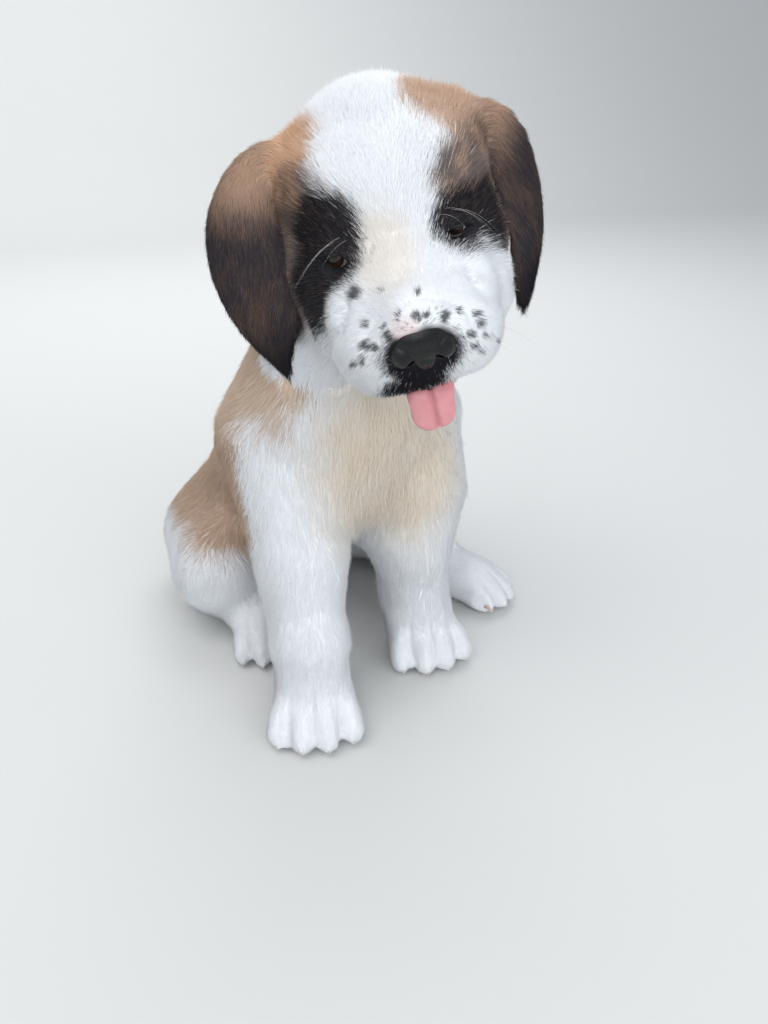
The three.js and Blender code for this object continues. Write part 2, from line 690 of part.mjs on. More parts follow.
function add(name, solid, finish) {
  const { vertProperties, numProp, triVerts } = solid.getMesh();
  if (numProp !== 3) throw new Error(`${name} carries more than its positions`);
  const geometry = new THREE.BufferGeometry();
  geometry.setAttribute("position", new THREE.BufferAttribute(vertProperties, 3));
  geometry.setIndex(new THREE.BufferAttribute(triVerts, 1));
  geometry.computeVertexNormals();
  const mesh = new THREE.Mesh(geometry, new THREE.MeshStandardMaterial(finish));
  mesh.name = name;
  dog.add(mesh);
}

// The body, from the neck down, with its soles flat on the floor.
const CUT_MARGIN = 9; // how far the sampled forms run on past the cut between head and neck
const pastHeadCut = beyond(HEAD_CUT);
const onPaws = (p) => (p.z < 45 && p.y < 40 ? 5 : 1);
const bodyField = (x, y, z) => Math.max(dogField(x, y, z), -pastHeadCut(x, y, z) - CUT_MARGIN);
const floor = region([{ at: [0, 0, 0], facing: [0, 0, 1] }]);
const flesh = sculpted(bodyField, BODY_MESH, undefined, onPaws).subtract(floor);
const belowHead = largest(flesh.subtract(region(HEAD_CUT, GAP)));
let trunk = belowHead;
let neck;
let tail;
[neck, trunk] = parted(trunk, NECK_CUT);
[tail, trunk] = parted(trunk, TAIL_CUT);
add("neck", neck, WHITE_COAT);
add("tail", tail, WHITE_COAT);
for (const side of Object.keys(SIDES)) {
  let leg;
  let paw;
  [leg, trunk] = parted(trunk, HINDLEG_CUT[side]);
  [paw, leg] = parted(leg, pawCut(HINDLEG[side].paw, HIND_PAW_CUT.above, HIND_PAW_CUT.behind));
  add(`hindleg_${side}`, leg, WHITE_COAT);
  add(`hindpaw_${side}`, claws(HINDLEG[side].paw, HIND_PAW).reduce((a, b) => a.add(b), paw), WHITE_COAT);
}
for (const side of Object.keys(SIDES)) {
  let leg;
  let paw;
  [leg, trunk] = parted(trunk, FORELEG_CUT[side]);
  [paw, leg] = parted(leg, pawCut(FORELEG[side].paw, FORE_PAW_CUT.above, FORE_PAW_CUT.behind));
  add(`foreleg_${side}`, leg, WHITE_COAT);
  add(`forepaw_${side}`, claws(FORELEG[side].paw, FORE_PAW).reduce((a, b) => a.add(b), paw), WHITE_COAT);
}
add("torso", trunk, TAN_COAT);

// The head, with a round socket behind each opening between the lids.
const headField = (x, y, z) => Math.max(dogField(x, y, z), pastHeadCut(x, y, z) - CUT_MARGIN);
const behindFace = beyond([{ at: headPoint([0, -34, 0]), facing: headDirection([0, 1, 0]) }]);
const onFace = (p) => (behindFace(p.x, p.y, p.z) < 0 ? 8 : 1);
const wholeHead = sculpted(headField, HEAD_MESH, undefined, onFace);
const headRoom = grown(wholeHead);
let head = wholeHead.intersect(region(HEAD_CUT));
for (const [name, side] of Object.entries(SIDES)) {
  const place = placed(onSide(EYE, side));
  const socket = headMatrix.clone().multiply(place);
  const ball = (radius) => solidFrom(new THREE.SphereGeometry(radius, 16, 10), socket);
  const lens = new THREE.SphereGeometry(1, 14, 8).scale(...EYE_OPENING.radii);
  const opening = solidFrom(lens, headMatrix.clone().multiply(placed(onSide(EYE_OPENING, side))));
  head = head.add(ball(EYE.radius + EYE.lid)).subtract(ball(EYE.radius + GAP)).subtract(opening);
  add(`eye_${name}`, ball(EYE.radius), EYE_SURFACE);
}

// The tongue lies over the lower lip, so both lips are cut clear of it.
const tongueForms = TONGUE.path.map((at, i) => {
  const flat = [TONGUE.halfWidths[i], 10, TONGUE.thickness / 2];
  return asForm({ at, radii: flat, turn: [i > 1 ? 25 + 35 * (i - 2) : 0, 0, 0], blend: 6 });
});
const tongueField = blended(tongueForms);
const tongue = sculpted(tongueField, TONGUE_MESH, headMatrix);
const tongueRoom = sculpted((x, y, z) => tongueField(x, y, z) - 2 * GAP, TONGUE_MESH, headMatrix);
head = largest(head.subtract(tongueRoom));
add("tongue", tongue, TONGUE_SKIN);

const nose = sculpted(
  blended([...bothSides(NOSE_FORMS, PAIRED_NOSE_FORMS), PHILTRUM].map(asForm)), NOSE_MESH, headMatrix);
add("nose", largest(nose.subtract(headRoom)), NOSE_SKIN);
const jaw = sculpted(blended(Object.values(JAW_FORMS).map(asForm)), JAW_MESH, headMatrix);
add("lower_jaw", largest(jaw.subtract(headRoom).subtract(tongueRoom)), WHITE_COAT);
for (const [name, side] of Object.entries(SIDES)) {
  const flap = earFlap(EARS[name], side);
  const placedFlap = flap.transform(headMatrix.elements);
  add(`ear_${name}`, largest(placedFlap.subtract(headRoom)), DARK_COAT);
}
add("head", head, WHITE_COAT);

// The origin goes under the middle of the whole box.
const box = new THREE.Box3().setFromObject(dog);
const middle = box.getCenter(new THREE.Vector3());
dog.position.set(-middle.x, -middle.y, -box.min.z);
dog.updateMatrixWorld(true);

export default dog;
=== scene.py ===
import itertools
import math

import bpy
import numpy as np
from mathutils import Matrix, Vector
from mathutils.bvhtree import BVHTree


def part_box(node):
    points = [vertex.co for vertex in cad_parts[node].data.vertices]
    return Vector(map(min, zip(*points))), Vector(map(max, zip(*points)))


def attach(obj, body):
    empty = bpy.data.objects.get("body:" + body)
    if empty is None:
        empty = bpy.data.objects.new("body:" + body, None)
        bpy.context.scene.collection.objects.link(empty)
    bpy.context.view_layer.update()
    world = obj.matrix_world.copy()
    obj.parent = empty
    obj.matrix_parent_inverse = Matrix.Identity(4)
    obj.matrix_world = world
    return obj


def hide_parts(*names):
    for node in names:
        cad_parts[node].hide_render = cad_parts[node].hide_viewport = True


bl_info = {
    "name": "Sitting puppy",
    "version": (1, 0, 0),
    "blender": (4, 5, 0),
    "location": "3D View > Sidebar > Puppy",
    "description": "Dresses the packed puppy in skin, fur, eyes, nose, tongue and claws",
    "category": "Add Mesh",
}

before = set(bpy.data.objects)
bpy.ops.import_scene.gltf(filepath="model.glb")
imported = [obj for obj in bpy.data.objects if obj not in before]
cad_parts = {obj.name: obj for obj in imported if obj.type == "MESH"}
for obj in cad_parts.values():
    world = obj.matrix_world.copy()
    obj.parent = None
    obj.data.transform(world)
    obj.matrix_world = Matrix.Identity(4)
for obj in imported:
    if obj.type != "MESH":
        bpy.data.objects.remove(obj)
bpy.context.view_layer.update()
MM = 0.001

# The frames that the pieces are placed in

# The head is drawn facing -Y with its eyes at about z 0, then turned about Y, X and Z.
HEAD_TURN = {"roll": -15.4, "pitch": 20.0, "yaw": -17.7}
EYE_AT = np.array((29.4, -48.2, 0.0))  # the left eyeball's centre in the head's frame, mm
SIDES = {"left": 1, "right": -1}  # the sign of x on each side of the head
HEAD_DRAWN_AT = np.array((16.3, -53.0, 322.0))  # the head's origin where the whole dog was drawn, mm


def middle_of(node):
    """The middle of a CAD node's box, in metres."""
    low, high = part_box(node)
    return np.array((low + high) / 2)


HEAD_AXES = np.array(
    Matrix.Rotation(math.radians(HEAD_TURN["yaw"]), 3, "Z")
    @ Matrix.Rotation(math.radians(HEAD_TURN["pitch"]), 3, "X")
    @ Matrix.Rotation(math.radians(HEAD_TURN["roll"]), 3, "Y")
)
BETWEEN_EYES = (middle_of("eye_left") + middle_of("eye_right")) / 2
HEAD_AT = BETWEEN_EYES - HEAD_AXES @ (EYE_AT * (0, 1, 1)) * MM
DRAWN_AT = HEAD_AT - HEAD_DRAWN_AT * MM
CAMERA_FROM_HEAD = np.array((-195.3, -419.0, 38.0)) * MM
CAMERA_HEADING = 25.0  # degrees to the right of straight at the dog
CAMERA_DIP = 27.0
CAMERA_LENS = 769 / 1024 * 36


# Each paw where the dog was drawn: the middle of its sole, its length, width and height, and its aim.
PAWS = {
    "forepaw_left": {"at": (48, -56), "size": (66, 65, 40)},
    "forepaw_right": {"at": (-54, -96), "size": (66, 65, 40)},
    "hindpaw_left": {"at": (122, -6), "size": (66, 54, 36)},
    "hindpaw_right": {"at": (-58, 2), "size": (66, 54, 36)},
}
TOES = (-1.5, -0.5, 0.5, 1.5)
PAW_AIMS = {"forepaw_left": -8, "forepaw_right": -20, "hindpaw_left": 34, "hindpaw_right": -8}


def to_head(points):
    """Row frame in metres to the head's own frame in mm."""
    return (points - HEAD_AT) @ HEAD_AXES / MM


def from_head(points):
    """The head's own frame in mm to the row frame in metres."""
    return np.asarray(points, float) * MM @ HEAD_AXES.T + HEAD_AT


def head_direction(direction):
    """A direction of the head's frame in the row frame."""
    return HEAD_AXES @ np.asarray(direction, float)


# The coat

FLESH = (
    "head", "lower_jaw", "ear_left", "ear_right", "neck", "torso", "tail",
    "foreleg_left", "foreleg_right", "hindleg_left", "hindleg_right",
    "forepaw_left", "forepaw_right", "hindpaw_left", "hindpaw_right",
)

# What the fur is like over each area: how deep the coat lies over the skin, the length and width of
# a tuft and how far it stands from the skin, in mm and degrees, and the number of tufts on a cm2.
AREAS = {
    "muzzle": {"depth": 1.0, "length": 3.7, "width": 0.34, "lift": 22, "crowd": 255},
    "face": {"depth": 2.0, "length": 6.8, "width": 0.40, "lift": 19, "crowd": 190},
    "crown": {"depth": 2.8, "length": 9.5, "width": 0.44, "lift": 21, "crowd": 150},
    "ear": {"depth": 0.3, "length": 7.2, "width": 0.42, "lift": 11, "crowd": 140},
    "neck": {"depth": 4.2, "length": 11.0, "width": 0.50, "lift": 16, "crowd": 95},
    "torso": {"depth": 4.4, "length": 11.5, "width": 0.52, "lift": 15, "crowd": 84},
    "tail": {"depth": 4.2, "length": 11.0, "width": 0.55, "lift": 15, "crowd": 80},
    "foreleg": {"depth": 2.6, "length": 8.2, "width": 0.46, "lift": 15, "crowd": 104},
    "hindleg": {"depth": 3.6, "length": 9.8, "width": 0.50, "lift": 15, "crowd": 82},
    "paw": {"depth": 0.8, "length": 4.8, "width": 0.40, "lift": 17, "crowd": 140},
}
MUZZLE_BACK = -70  # the muzzle's fur starts in front of this y of the head's frame
MUZZLE_TOP = 12  # and below this z
FACE_BACK = -20  # the face's fur starts in front of this y

# The coat's markings: ovals with a centre, radii and the share of their size over which they fade.
# Those of the head are in its own frame and those of the body in the row frame, all in mm.
CAPS = {
    "right": ((-54, -2, 34), (30, 42, 26), 0.34),
    "left": ((45, 2, 36), (28, 38, 26), 0.34),
}
TEMPLES = {
    "right": ((-47, -38, 19), (23, 26, 25), 0.50),
    "left": ((46, -34, 18), (20, 21, 20), 0.45),
    "left brow": ((41, -49, 22), (19, 20, 17), 0.40),
    # painted shade: the two side ovals lay the temples' brindle over the head in the gap behind each ear
    "right side": ((-62, -16, -16), (19, 40, 38), 0.40),
    "left side": ((60, -22, -4), (16, 42, 38), 0.40),
}
EYE_PATCHES = {
    "right": ((-33, -57, 12), (19, 25, 25), 0.34),
    "right cheek": ((-47, -58, -13), (18, 22, 22), 0.38),
    "left": ((34, -58, 6), (16, 24, 13), 0.30),
    "left side": ((50, -46, -2), (10, 22, 18), 0.40),
}
LIP_PATCHES = {
    "round the nose": ((-1, -114, -26), (20.5, 15, 16.4), 0.34),
    "lip": ((-3, -112, -38), (15, 12, 12), 0.40),
    "lip corner": ((-15, -110, -46), (11, 12, 8), 0.50),
}
FRECKLES = (  # where each freckle is on the head, mm, and its radius
    ((-13.3, -92.0, -0.1), 1.8), ((4.0, -102.7, 0.8), 2.4), ((-25.0, -84.2, -2.5), 4.6),
    ((-7.8, -109.3, -5.2), 2.4), ((0.7, -112.2, -5.9), 2.8), ((5.4, -111.7, -7.1), 2.2),
    ((9.8, -109.0, -6.4), 1.9), ((12.7, -110.0, -10.6), 3.0), ((-24.1, -100.2, -10.3), 2.4),
    ((-15.4, -107.5, -9.8), 1.9), ((-14.4, -110.1, -12.4), 2.6), ((-26.1, -107.0, -17.4), 3.2),
    ((-22.0, -109.5, -18.0), 2.5), ((-29.5, -108.4, -22.6), 1.8), ((-29.7, -109.4, -24.8), 1.9),
    ((-34.3, -106.6, -26.1), 2.3), ((-27.4, -106.7, -46.5), 2.2), ((28.7, -105.1, -17.1), 2.3),
    ((29.6, -107.7, -21.4), 2.3), ((30.4, -109.7, -26.8), 2.1), ((24.2, -111.1, -23.3), 2.2),
    ((37.0, -104.6, -34.9), 1.7), ((25.0, -112.5, -29.6), 2.4), ((20.9, -105.9, -12.5), 2.0),
    ((27.0, -112.0, -33.5), 1.8), ((33.0, -108.5, -29.5), 1.4),
)
PINK_SPOT = ((-6.5, -113.0, -9.5), (6, 6, 5), 0.7)
WARM_BRIDGE = ((-8, -74, 8), (15, 26, 14), 1.0)
WARM_CHEST = ((-4, -104, 172), (52, 46, 66), 0.8)
# Where the fawn blanket starts on the dog's right side: how far back (y) at each height (z), then how
# low it comes (z) at each place along the body (y), and the lower edge of the patch on the shoulder.
BLANKET_FRONT = ((60, -25), (80, -40), (110, -79), (138, -79), (160, -73), (180, -70), (192, -65),
                 (200, -56), (206, -78), (214, -100))
BLANKET_FRONT_LEFT = -28  # the blanket starts further back on the left side
BLANKET_LOW = ((-80, 100), (-25, 70), (-14, 77), (5, 82), (52, 78), (82, 76), (130, 66), (190, 60))
SHOULDER_LOW = ((-90, 186), (-84, 188), (-76, 194), (-67, 199), (-56, 202))
SHOULDER_SIDE = -66  # the shoulder patch lies beyond this x
LIT_SHOULDER = (180, 198)  # painted light: the blanket grows paler towards its top between these heights, to lift the shade that falls there
COLLAR_HEIGHT = 262  # the white collar starts here
TAIL_WHITE = 40  # the tail is white beyond this x of the drawn frame
EAR_CAP_HEIGHT = 17  # the ears are tan above this z of the head's frame
EAR_TIP_HEIGHT = -48  # and black below this z


def linear(red, green, blue):
    """A colour read on a screen, 0 to 255, as the linear numbers that materials take."""
    share = (np.array((red, green, blue)) / 255 + 0.055) / 1.055
    return tuple(share**2.4)


def length_property(name, description, default):
    """A length that the sidebar shows with its unit."""
    return bpy.props.FloatProperty(
        name=name, description=description, default=default, min=0, unit="LENGTH", precision=4)


def colour_property(name, description, default):
    """A colour that the sidebar shows as a swatch."""
    return bpy.props.FloatVectorProperty(
        name=name, description=description, default=default, subtype="COLOR", min=0, max=1)


class PuppyCoatSettings(bpy.types.PropertyGroup):
    """The fur's size and the colours of its markings."""

    crowd: bpy.props.FloatProperty(
        name="Density", description="Share of the full number of tufts", default=1, min=0.05, max=1.5,
        subtype="FACTOR")
    growth: bpy.props.FloatProperty(
        name="Length", description="Share of the full length of the tufts", default=1, min=0.2, max=1.5,
        subtype="FACTOR")
    white: colour_property("White", "Blaze, muzzle, collar, chest and legs", linear(243, 245, 248))
    cream: colour_property("Cream", "Warm tint of the bridge and the chest", linear(238, 222, 200))
    tan: colour_property("Tan", "Caps over the ears", linear(210, 168, 136))
    fawn: colour_property("Fawn", "Blanket over the back", linear(194, 166, 145))
    ash: colour_property("Ash", "Greyish hairs in the tan of the ears", linear(158, 146, 142))
    brown: colour_property("Brown", "Temples and lighter streaks of the ears", linear(104, 86, 78))
    black: colour_property("Black", "Eye patches, ears, freckles and lips", linear(31, 30, 35))
    pink: colour_property("Pink", "Bare-looking spots of skin", linear(240, 208, 202))


class PuppyFaceSettings(bpy.types.PropertyGroup):
    """The sizes and colours of the eyes, lids, nose, tongue and claws."""

    eye_radius: length_property("Eye radius", "Radius of the eyeball", 0.0091)
    lid_width: length_property("Lid edge", "Radius of the rounded edge of a lid", 0.00085)
    claw_length: length_property("Claw length", "Length of a claw, with its root", 0.0072)
    iris: colour_property("Iris", "Outer part of the iris", linear(66, 44, 33))
    nose: colour_property("Nose", "Bare skin of the nose", linear(10, 10, 12))
    tongue: colour_property("Tongue", "Tip of the tongue", linear(206, 146, 150))
    claw: colour_property("Claw", "Horn of the claws", linear(206, 188, 176))


class PuppyStageSettings(bpy.types.PropertyGroup):
    """The floor and the lights."""

    floor: colour_property("Floor", "Plain pale floor", linear(206, 206, 204))
    key: bpy.props.FloatProperty(
        name="Key light", description="Power of the large light high on the left", default=12.5, min=0,
        unit="POWER")
    fill: bpy.props.FloatProperty(
        name="Fill light", description="Power of the light in front", default=27, min=0,
        unit="POWER")
    spark: bpy.props.FloatProperty(
        name="Eye light", description="Power of the small light that the eyes mirror", default=0.8, min=0,
        unit="POWER")
    top: bpy.props.FloatProperty(
        name="Rim light", description="Power of the light behind on the right", default=10, min=0,
        unit="POWER")
    backdrop: bpy.props.FloatProperty(
        name="Backdrop light", description="Power of the light on the backdrop", default=60, min=0,
        unit="POWER")
    sky: bpy.props.FloatProperty(
        name="Sky", description="Strength of the light from all round", default=0.66, min=0)


# Numbers over a surface


def noise(points, size, seed):
    """Smooth noise from -1 to 1 at each point, with lumps of about one size."""
    place = points / size + seed * 7.31
    cell = np.floor(place).astype(np.int64)
    inside = place - cell
    ease = inside * inside * (3 - 2 * inside)
    total = np.zeros(len(points))
    for corner in itertools.product((0, 1), repeat=3):
        key = (cell + corner) @ np.array((73856093, 19349663, 83492791)) + seed * 1013904223
        key = (key ^ (key >> 13)) * 1274126177 & 0xFFFFFFFF
        key = (key ^ (key >> 16)) * 2246822519 & 0xFFFFFFFF
        weight = np.prod(np.where(corner, ease, 1 - ease), axis=1)
        total += weight * (key / 0x7FFFFFFF - 1)
    return total


def noise_vector(points, size, seed):
    """Smooth noise with three components."""
    return np.stack([noise(points, size, seed + k) for k in range(3)], axis=1)


def unit(vectors):
    """Each vector at length one."""
    return vectors / np.maximum(np.linalg.norm(vectors, axis=-1, keepdims=True), 1e-9)


def smooth_step(values, low, high):
    """0 below low, 1 above high and a soft rise between them."""
    share = np.clip((values - low) / (high - low), 0, 1)
    return share * share * (3 - 2 * share)


def within(points, oval):
    """How far inside an oval each point lies, from 0 outside to 1 inside, across its soft edge."""
    centre, radii, fade = oval
    distance = np.linalg.norm((points - np.array(centre)) / np.array(radii), axis=1)
    return smooth_step(-distance, -1 - fade / 2, -1 + fade / 2)


def within_any(points, ovals):
    """The same for the nearest of several ovals."""
    return np.max([within(points, oval) for oval in ovals.values()], axis=0)


class Surface:
    """A mesh as arrays: its points, their normals, its edges and what lies next to what."""

    def __init__(self, mesh):
        mesh.update()
        count = len(mesh.vertices)
        self.points = np.empty(3 * count)
        mesh.vertices.foreach_get("co", self.points)
        self.points = self.points.reshape(-1, 3)
        self.normals = np.empty(3 * count)
        mesh.vertices.foreach_get("normal", self.normals)
        self.normals = self.normals.reshape(-1, 3)
        self.edges = np.empty(2 * len(mesh.edges), np.int64)
        mesh.edges.foreach_get("vertices", self.edges)
        self.edges = self.edges.reshape(-1, 2)
        mesh.calc_loop_triangles()
        self.triangles = np.empty(3 * len(mesh.loop_triangles), np.int64)
        mesh.loop_triangles.foreach_get("vertices", self.triangles)
        self.triangles = self.triangles.reshape(-1, 3)

    def spread(self, values, rounds):
        """Values averaged with those of their neighbours, several times over."""
        start, end = self.edges.T
        size = len(self.points)
        share = np.bincount(start, minlength=size) + np.bincount(end, minlength=size) + 1
        flat = values.reshape(size, -1).astype(float)
        for _ in range(rounds):
            columns = []
            for column in flat.T:
                gathered = np.bincount(start, column[end], size) + np.bincount(end, column[start], size)
                columns.append((column + gathered) / share)
            flat = np.stack(columns, axis=1)
        return flat.reshape(values.shape)


def move_points(obj, points):
    """Puts an object's vertices at new places."""
    obj.data.vertices.foreach_set("co", np.ascontiguousarray(points, np.float32).ravel())
    obj.data.update()


def distance_to_line(points, line):
    """How far each point lies from a line of several stretches."""
    line = np.asarray(line, float)
    nearest = np.full(len(points), np.inf)
    for start, end in zip(line[:-1], line[1:]):
        along = end - start
        share = np.clip((points - start) @ along / (along @ along), 0, 1)
        nearest = np.minimum(nearest, np.linalg.norm(points - start - share[:, None] * along, axis=1))
    return nearest


def to_paw(points, paw):
    """Row frame in metres to a paw's own frame in mm: across, back and up from its sole."""
    place = points / MM - np.array((*PAWS[paw]["at"], 0)) - DRAWN_AT * (1, 1, 0) / MM
    turn = math.radians(PAW_AIMS[paw])
    across = place[:, 0] * math.cos(turn) + place[:, 1] * math.sin(turn)
    back = place[:, 1] * math.cos(turn) - place[:, 0] * math.sin(turn)
    return np.stack((across, back, place[:, 2]), axis=1)


# Markings


def coat_areas(points, nodes):
    """The name of the coat's area at each point, from the node it lies on."""
    head = to_head(points)
    area = np.array([node.split("_")[0] for node in nodes], dtype="U8")
    area[np.isin(area, ("forepaw", "hindpaw"))] = "paw"
    on_head = np.isin(area, ("head", "lower"))
    area[on_head] = "crown"
    area[on_head & (head[:, 1] < FACE_BACK)] = "face"
    area[on_head & (head[:, 1] < MUZZLE_BACK) & (head[:, 2] < MUZZLE_TOP)] = "muzzle"
    return area


def mantle_share(body, node):
    """How much of the fawn blanket each point of the body has, from 0 to 1."""
    x, y, z = body.T
    left = smooth_step(x, -62, -36)
    front = np.interp(z, *zip(*BLANKET_FRONT)) * (1 - left) + BLANKET_FRONT_LEFT * left
    low = np.interp(y, *zip(*BLANKET_LOW))
    under_collar = smooth_step(-z, -COLLAR_HEIGHT - 6, -COLLAR_HEIGHT + 8)
    blanket = smooth_step(y - front, -2, 5) * smooth_step(z - low, -4, 4)
    above = z - np.interp(y, *zip(*SHOULDER_LOW))
    shoulder = smooth_step(SHOULDER_SIDE - x, -3, 5) * smooth_step(y, -91, -84) * smooth_step(above, -3, 3)
    white_tip = smooth_step(x - DRAWN_AT[0] / MM, TAIL_WHITE - 8, TAIL_WHITE + 8)
    tail = np.where(node == "tail", 1 - white_tip, 0)
    legs = np.isin(node, ("forepaw_left", "forepaw_right", "hindpaw_left", "hindpaw_right"))
    return np.maximum(np.maximum(blanket, 0.75 * shoulder) * under_collar * ~legs * (node != "tail"), tail)


class Dye:
    """Colours at many points that further shades are laid over."""

    def __init__(self, colours):
        self.colours = colours

    def lay(self, shade, share):
        """Lays a shade over the colours, by a share at each point."""
        share = np.clip(share, 0, 1)[:, None]
        self.colours = self.colours * (1 - share) + np.asarray(shade) * share


def dye_body(dye, coat, body, node, cloud, pick):
    """The warm chest and the fawn blanket. Body is in the row frame, in mm."""
    on_body = ~(np.char.startswith(node, "ear") | np.isin(node, ("head", "lower_jaw")))
    dye.lay(coat.cream, 0.95 * within(body, WARM_CHEST) * on_body * (0.85 + 0.15 * cloud))
    blanket = mantle_share(body, node) * on_body
    shade = np.array(coat.fawn) * (1 + 0.07 * noise(body, 30, 41)[:, None])
    dye.lay(shade * (0.92 + 0.16 * pick[:, None]), blanket)
    # painted light: the top of the blanket is mixed paler with cream
    dye.lay(coat.cream, blanket * 0.30 * smooth_step(body[:, 2], *LIT_SHOULDER))
    dye.lay(coat.cream, blanket * 0.22 * (pick > 0.72))


def dye_head(dye, coat, head, streak, cloud, pick, on_head):
    """The tan caps, the brindled temples and the black patches round the eyes."""
    dye.lay(coat.cream, 0.45 * within(head, WARM_BRIDGE) * on_head)
    caps = within_any(head, CAPS) * on_head
    dye.lay(np.array(coat.tan) * (0.86 + 0.26 * pick[:, None]), caps)
    dye.lay(coat.cream, caps * 0.30 * (pick > 0.75))
    dye.lay(coat.ash, caps * 0.30 * (head[:, 0] > 0))
    # the temples include painted shade in the gap behind each ear
    temples = within_any(head, TEMPLES) * on_head
    tan_streak = smooth_step(streak + 0.35 * cloud, 0.05, 0.65)[:, None]
    black_streak = 0.35 * smooth_step(0.3 * cloud - streak, 0.0, 0.5)[:, None]
    brindle = np.array(coat.brown) * (1 - tan_streak) + np.array(coat.tan) * 0.7 * tan_streak
    brindle = brindle * (1 - black_streak) + np.array(coat.black) * black_streak
    dye.lay(brindle, temples * 0.92)
    patches = within_any(head, EYE_PATCHES) * on_head
    dye.lay(coat.black, patches * 0.99)
    dye.lay(coat.brown, patches * 0.55 * (pick > 0.86))


def dye_ears(dye, coat, head, streak, cloud, pick, on_ear):
    """Tan at the top of an ear, then brown and black streaks, and black at the tip."""
    below_cap = smooth_step(-head[:, 2], -EAR_CAP_HEIGHT - 14, -EAR_CAP_HEIGHT + 12)
    tip = smooth_step(-head[:, 2], -EAR_TIP_HEIGHT - 22, -EAR_TIP_HEIGHT + 10)
    dye.lay(np.array(coat.tan) * (0.86 + 0.26 * pick[:, None]), on_ear * 1.0)
    dye.lay(coat.ash, on_ear * 0.36)
    dark = np.array(coat.black) * 3.2
    brown_streak = smooth_step(streak + 0.5 * cloud, -0.1, 0.5)[:, None]
    streaks = np.array(coat.brown) * 0.9 * brown_streak + dark * (1 - brown_streak)
    dye.lay(streaks, on_ear * below_cap * 0.97)
    dye.lay(coat.black, on_ear * below_cap * (0.15 + 0.75 * tip))
    dye.lay(np.array(coat.tan) * 0.6, on_ear * below_cap * (1 - tip) * 0.22 * (pick > 0.90))


def dye_muzzle(dye, coat, head, ragged, on_head):
    """The black lips, the freckles and the pink spot beside the nose."""
    dye.lay(coat.black, within_any(head, LIP_PATCHES) * on_head)
    spots = np.zeros(len(head))
    for spot, radius in FRECKLES:
        spots = np.maximum(spots, within(ragged, (spot, (0.88 * radius,) * 3, 0.7)))
    dye.lay(coat.black, spots * 0.85 * on_head)
    dye.lay(coat.pink, within(head, PINK_SPOT) * 0.42 * on_head)


def coat_colours(points, nodes, fringe, seed):
    """The colour of the coat at each point. Fringe is how far single hairs stray over an edge, in mm."""
    coat = bpy.context.scene.puppy_coat
    rng = np.random.default_rng(seed)
    count = len(points)
    stray = rng.normal(size=(count, 3)) * fringe * np.where(rng.random((count, 1)) > 0.86, 2.2, 1)
    ragged = to_head(points) + noise_vector(points / MM, 2.2, 91) * 1.3 + stray * 0.2
    body = points / MM + noise_vector(points / MM, 22, 3) * 4 + stray * 2
    head = to_head(points) + noise_vector(points / MM, 11, 9) * 1.5 + stray
    head += noise_vector(points / MM, 4, 15) * 0.9
    node = np.array(nodes)
    on_ear = np.char.startswith(node, "ear")
    on_head = np.isin(node, ("head", "lower_jaw"))
    streak = noise(head * (1, 0.35, 0.35), 2.2, 21)
    cloud = noise(head, 13, 31)
    pick = rng.random(count) if fringe else np.full(count, 0.5)
    white = np.tile(np.array(coat.white), (count, 1))
    dye = Dye(white * (0.965 + 0.035 * rng.random((count, 1))))
    dye_body(dye, coat, body, node, cloud, pick)
    dye_head(dye, coat, head, streak, cloud, pick, on_head)
    dye_ears(dye, coat, head, streak, cloud, pick, on_ear)
    dye_muzzle(dye, coat, head, ragged, on_head)
    return np.clip(dye.colours, 0, 1)


# Materials


class Wire:
    """A node's output, so that arithmetic on it adds Math nodes."""

    def __init__(self, tree, socket):
        self.tree = tree
        self.socket = socket

    def _math(self, operation, *terms):
        node = self.tree.nodes.new("ShaderNodeMath")
        node.operation = operation
        for socket, term in zip(node.inputs, terms):
            plug(self.tree, socket, term)
        return Wire(self.tree, node.outputs[0])

    def __add__(self, other):
        return self._math("ADD", self, other)

    def __sub__(self, other):
        return self._math("SUBTRACT", self, other)

    def __rsub__(self, other):
        return self._math("SUBTRACT", other, self)

    def __mul__(self, other):
        return self._math("MULTIPLY", self, other)

    __radd__ = __add__
    __rmul__ = __mul__


def plug(tree, socket, value):
    """Links a wire to a socket, or sets the socket to a constant."""
    if isinstance(value, Wire):
        tree.links.new(value.socket, socket)
    elif socket.type == "RGBA" and len(value) == 3:
        socket.default_value = (*value, 1)
    else:
        socket.default_value = value


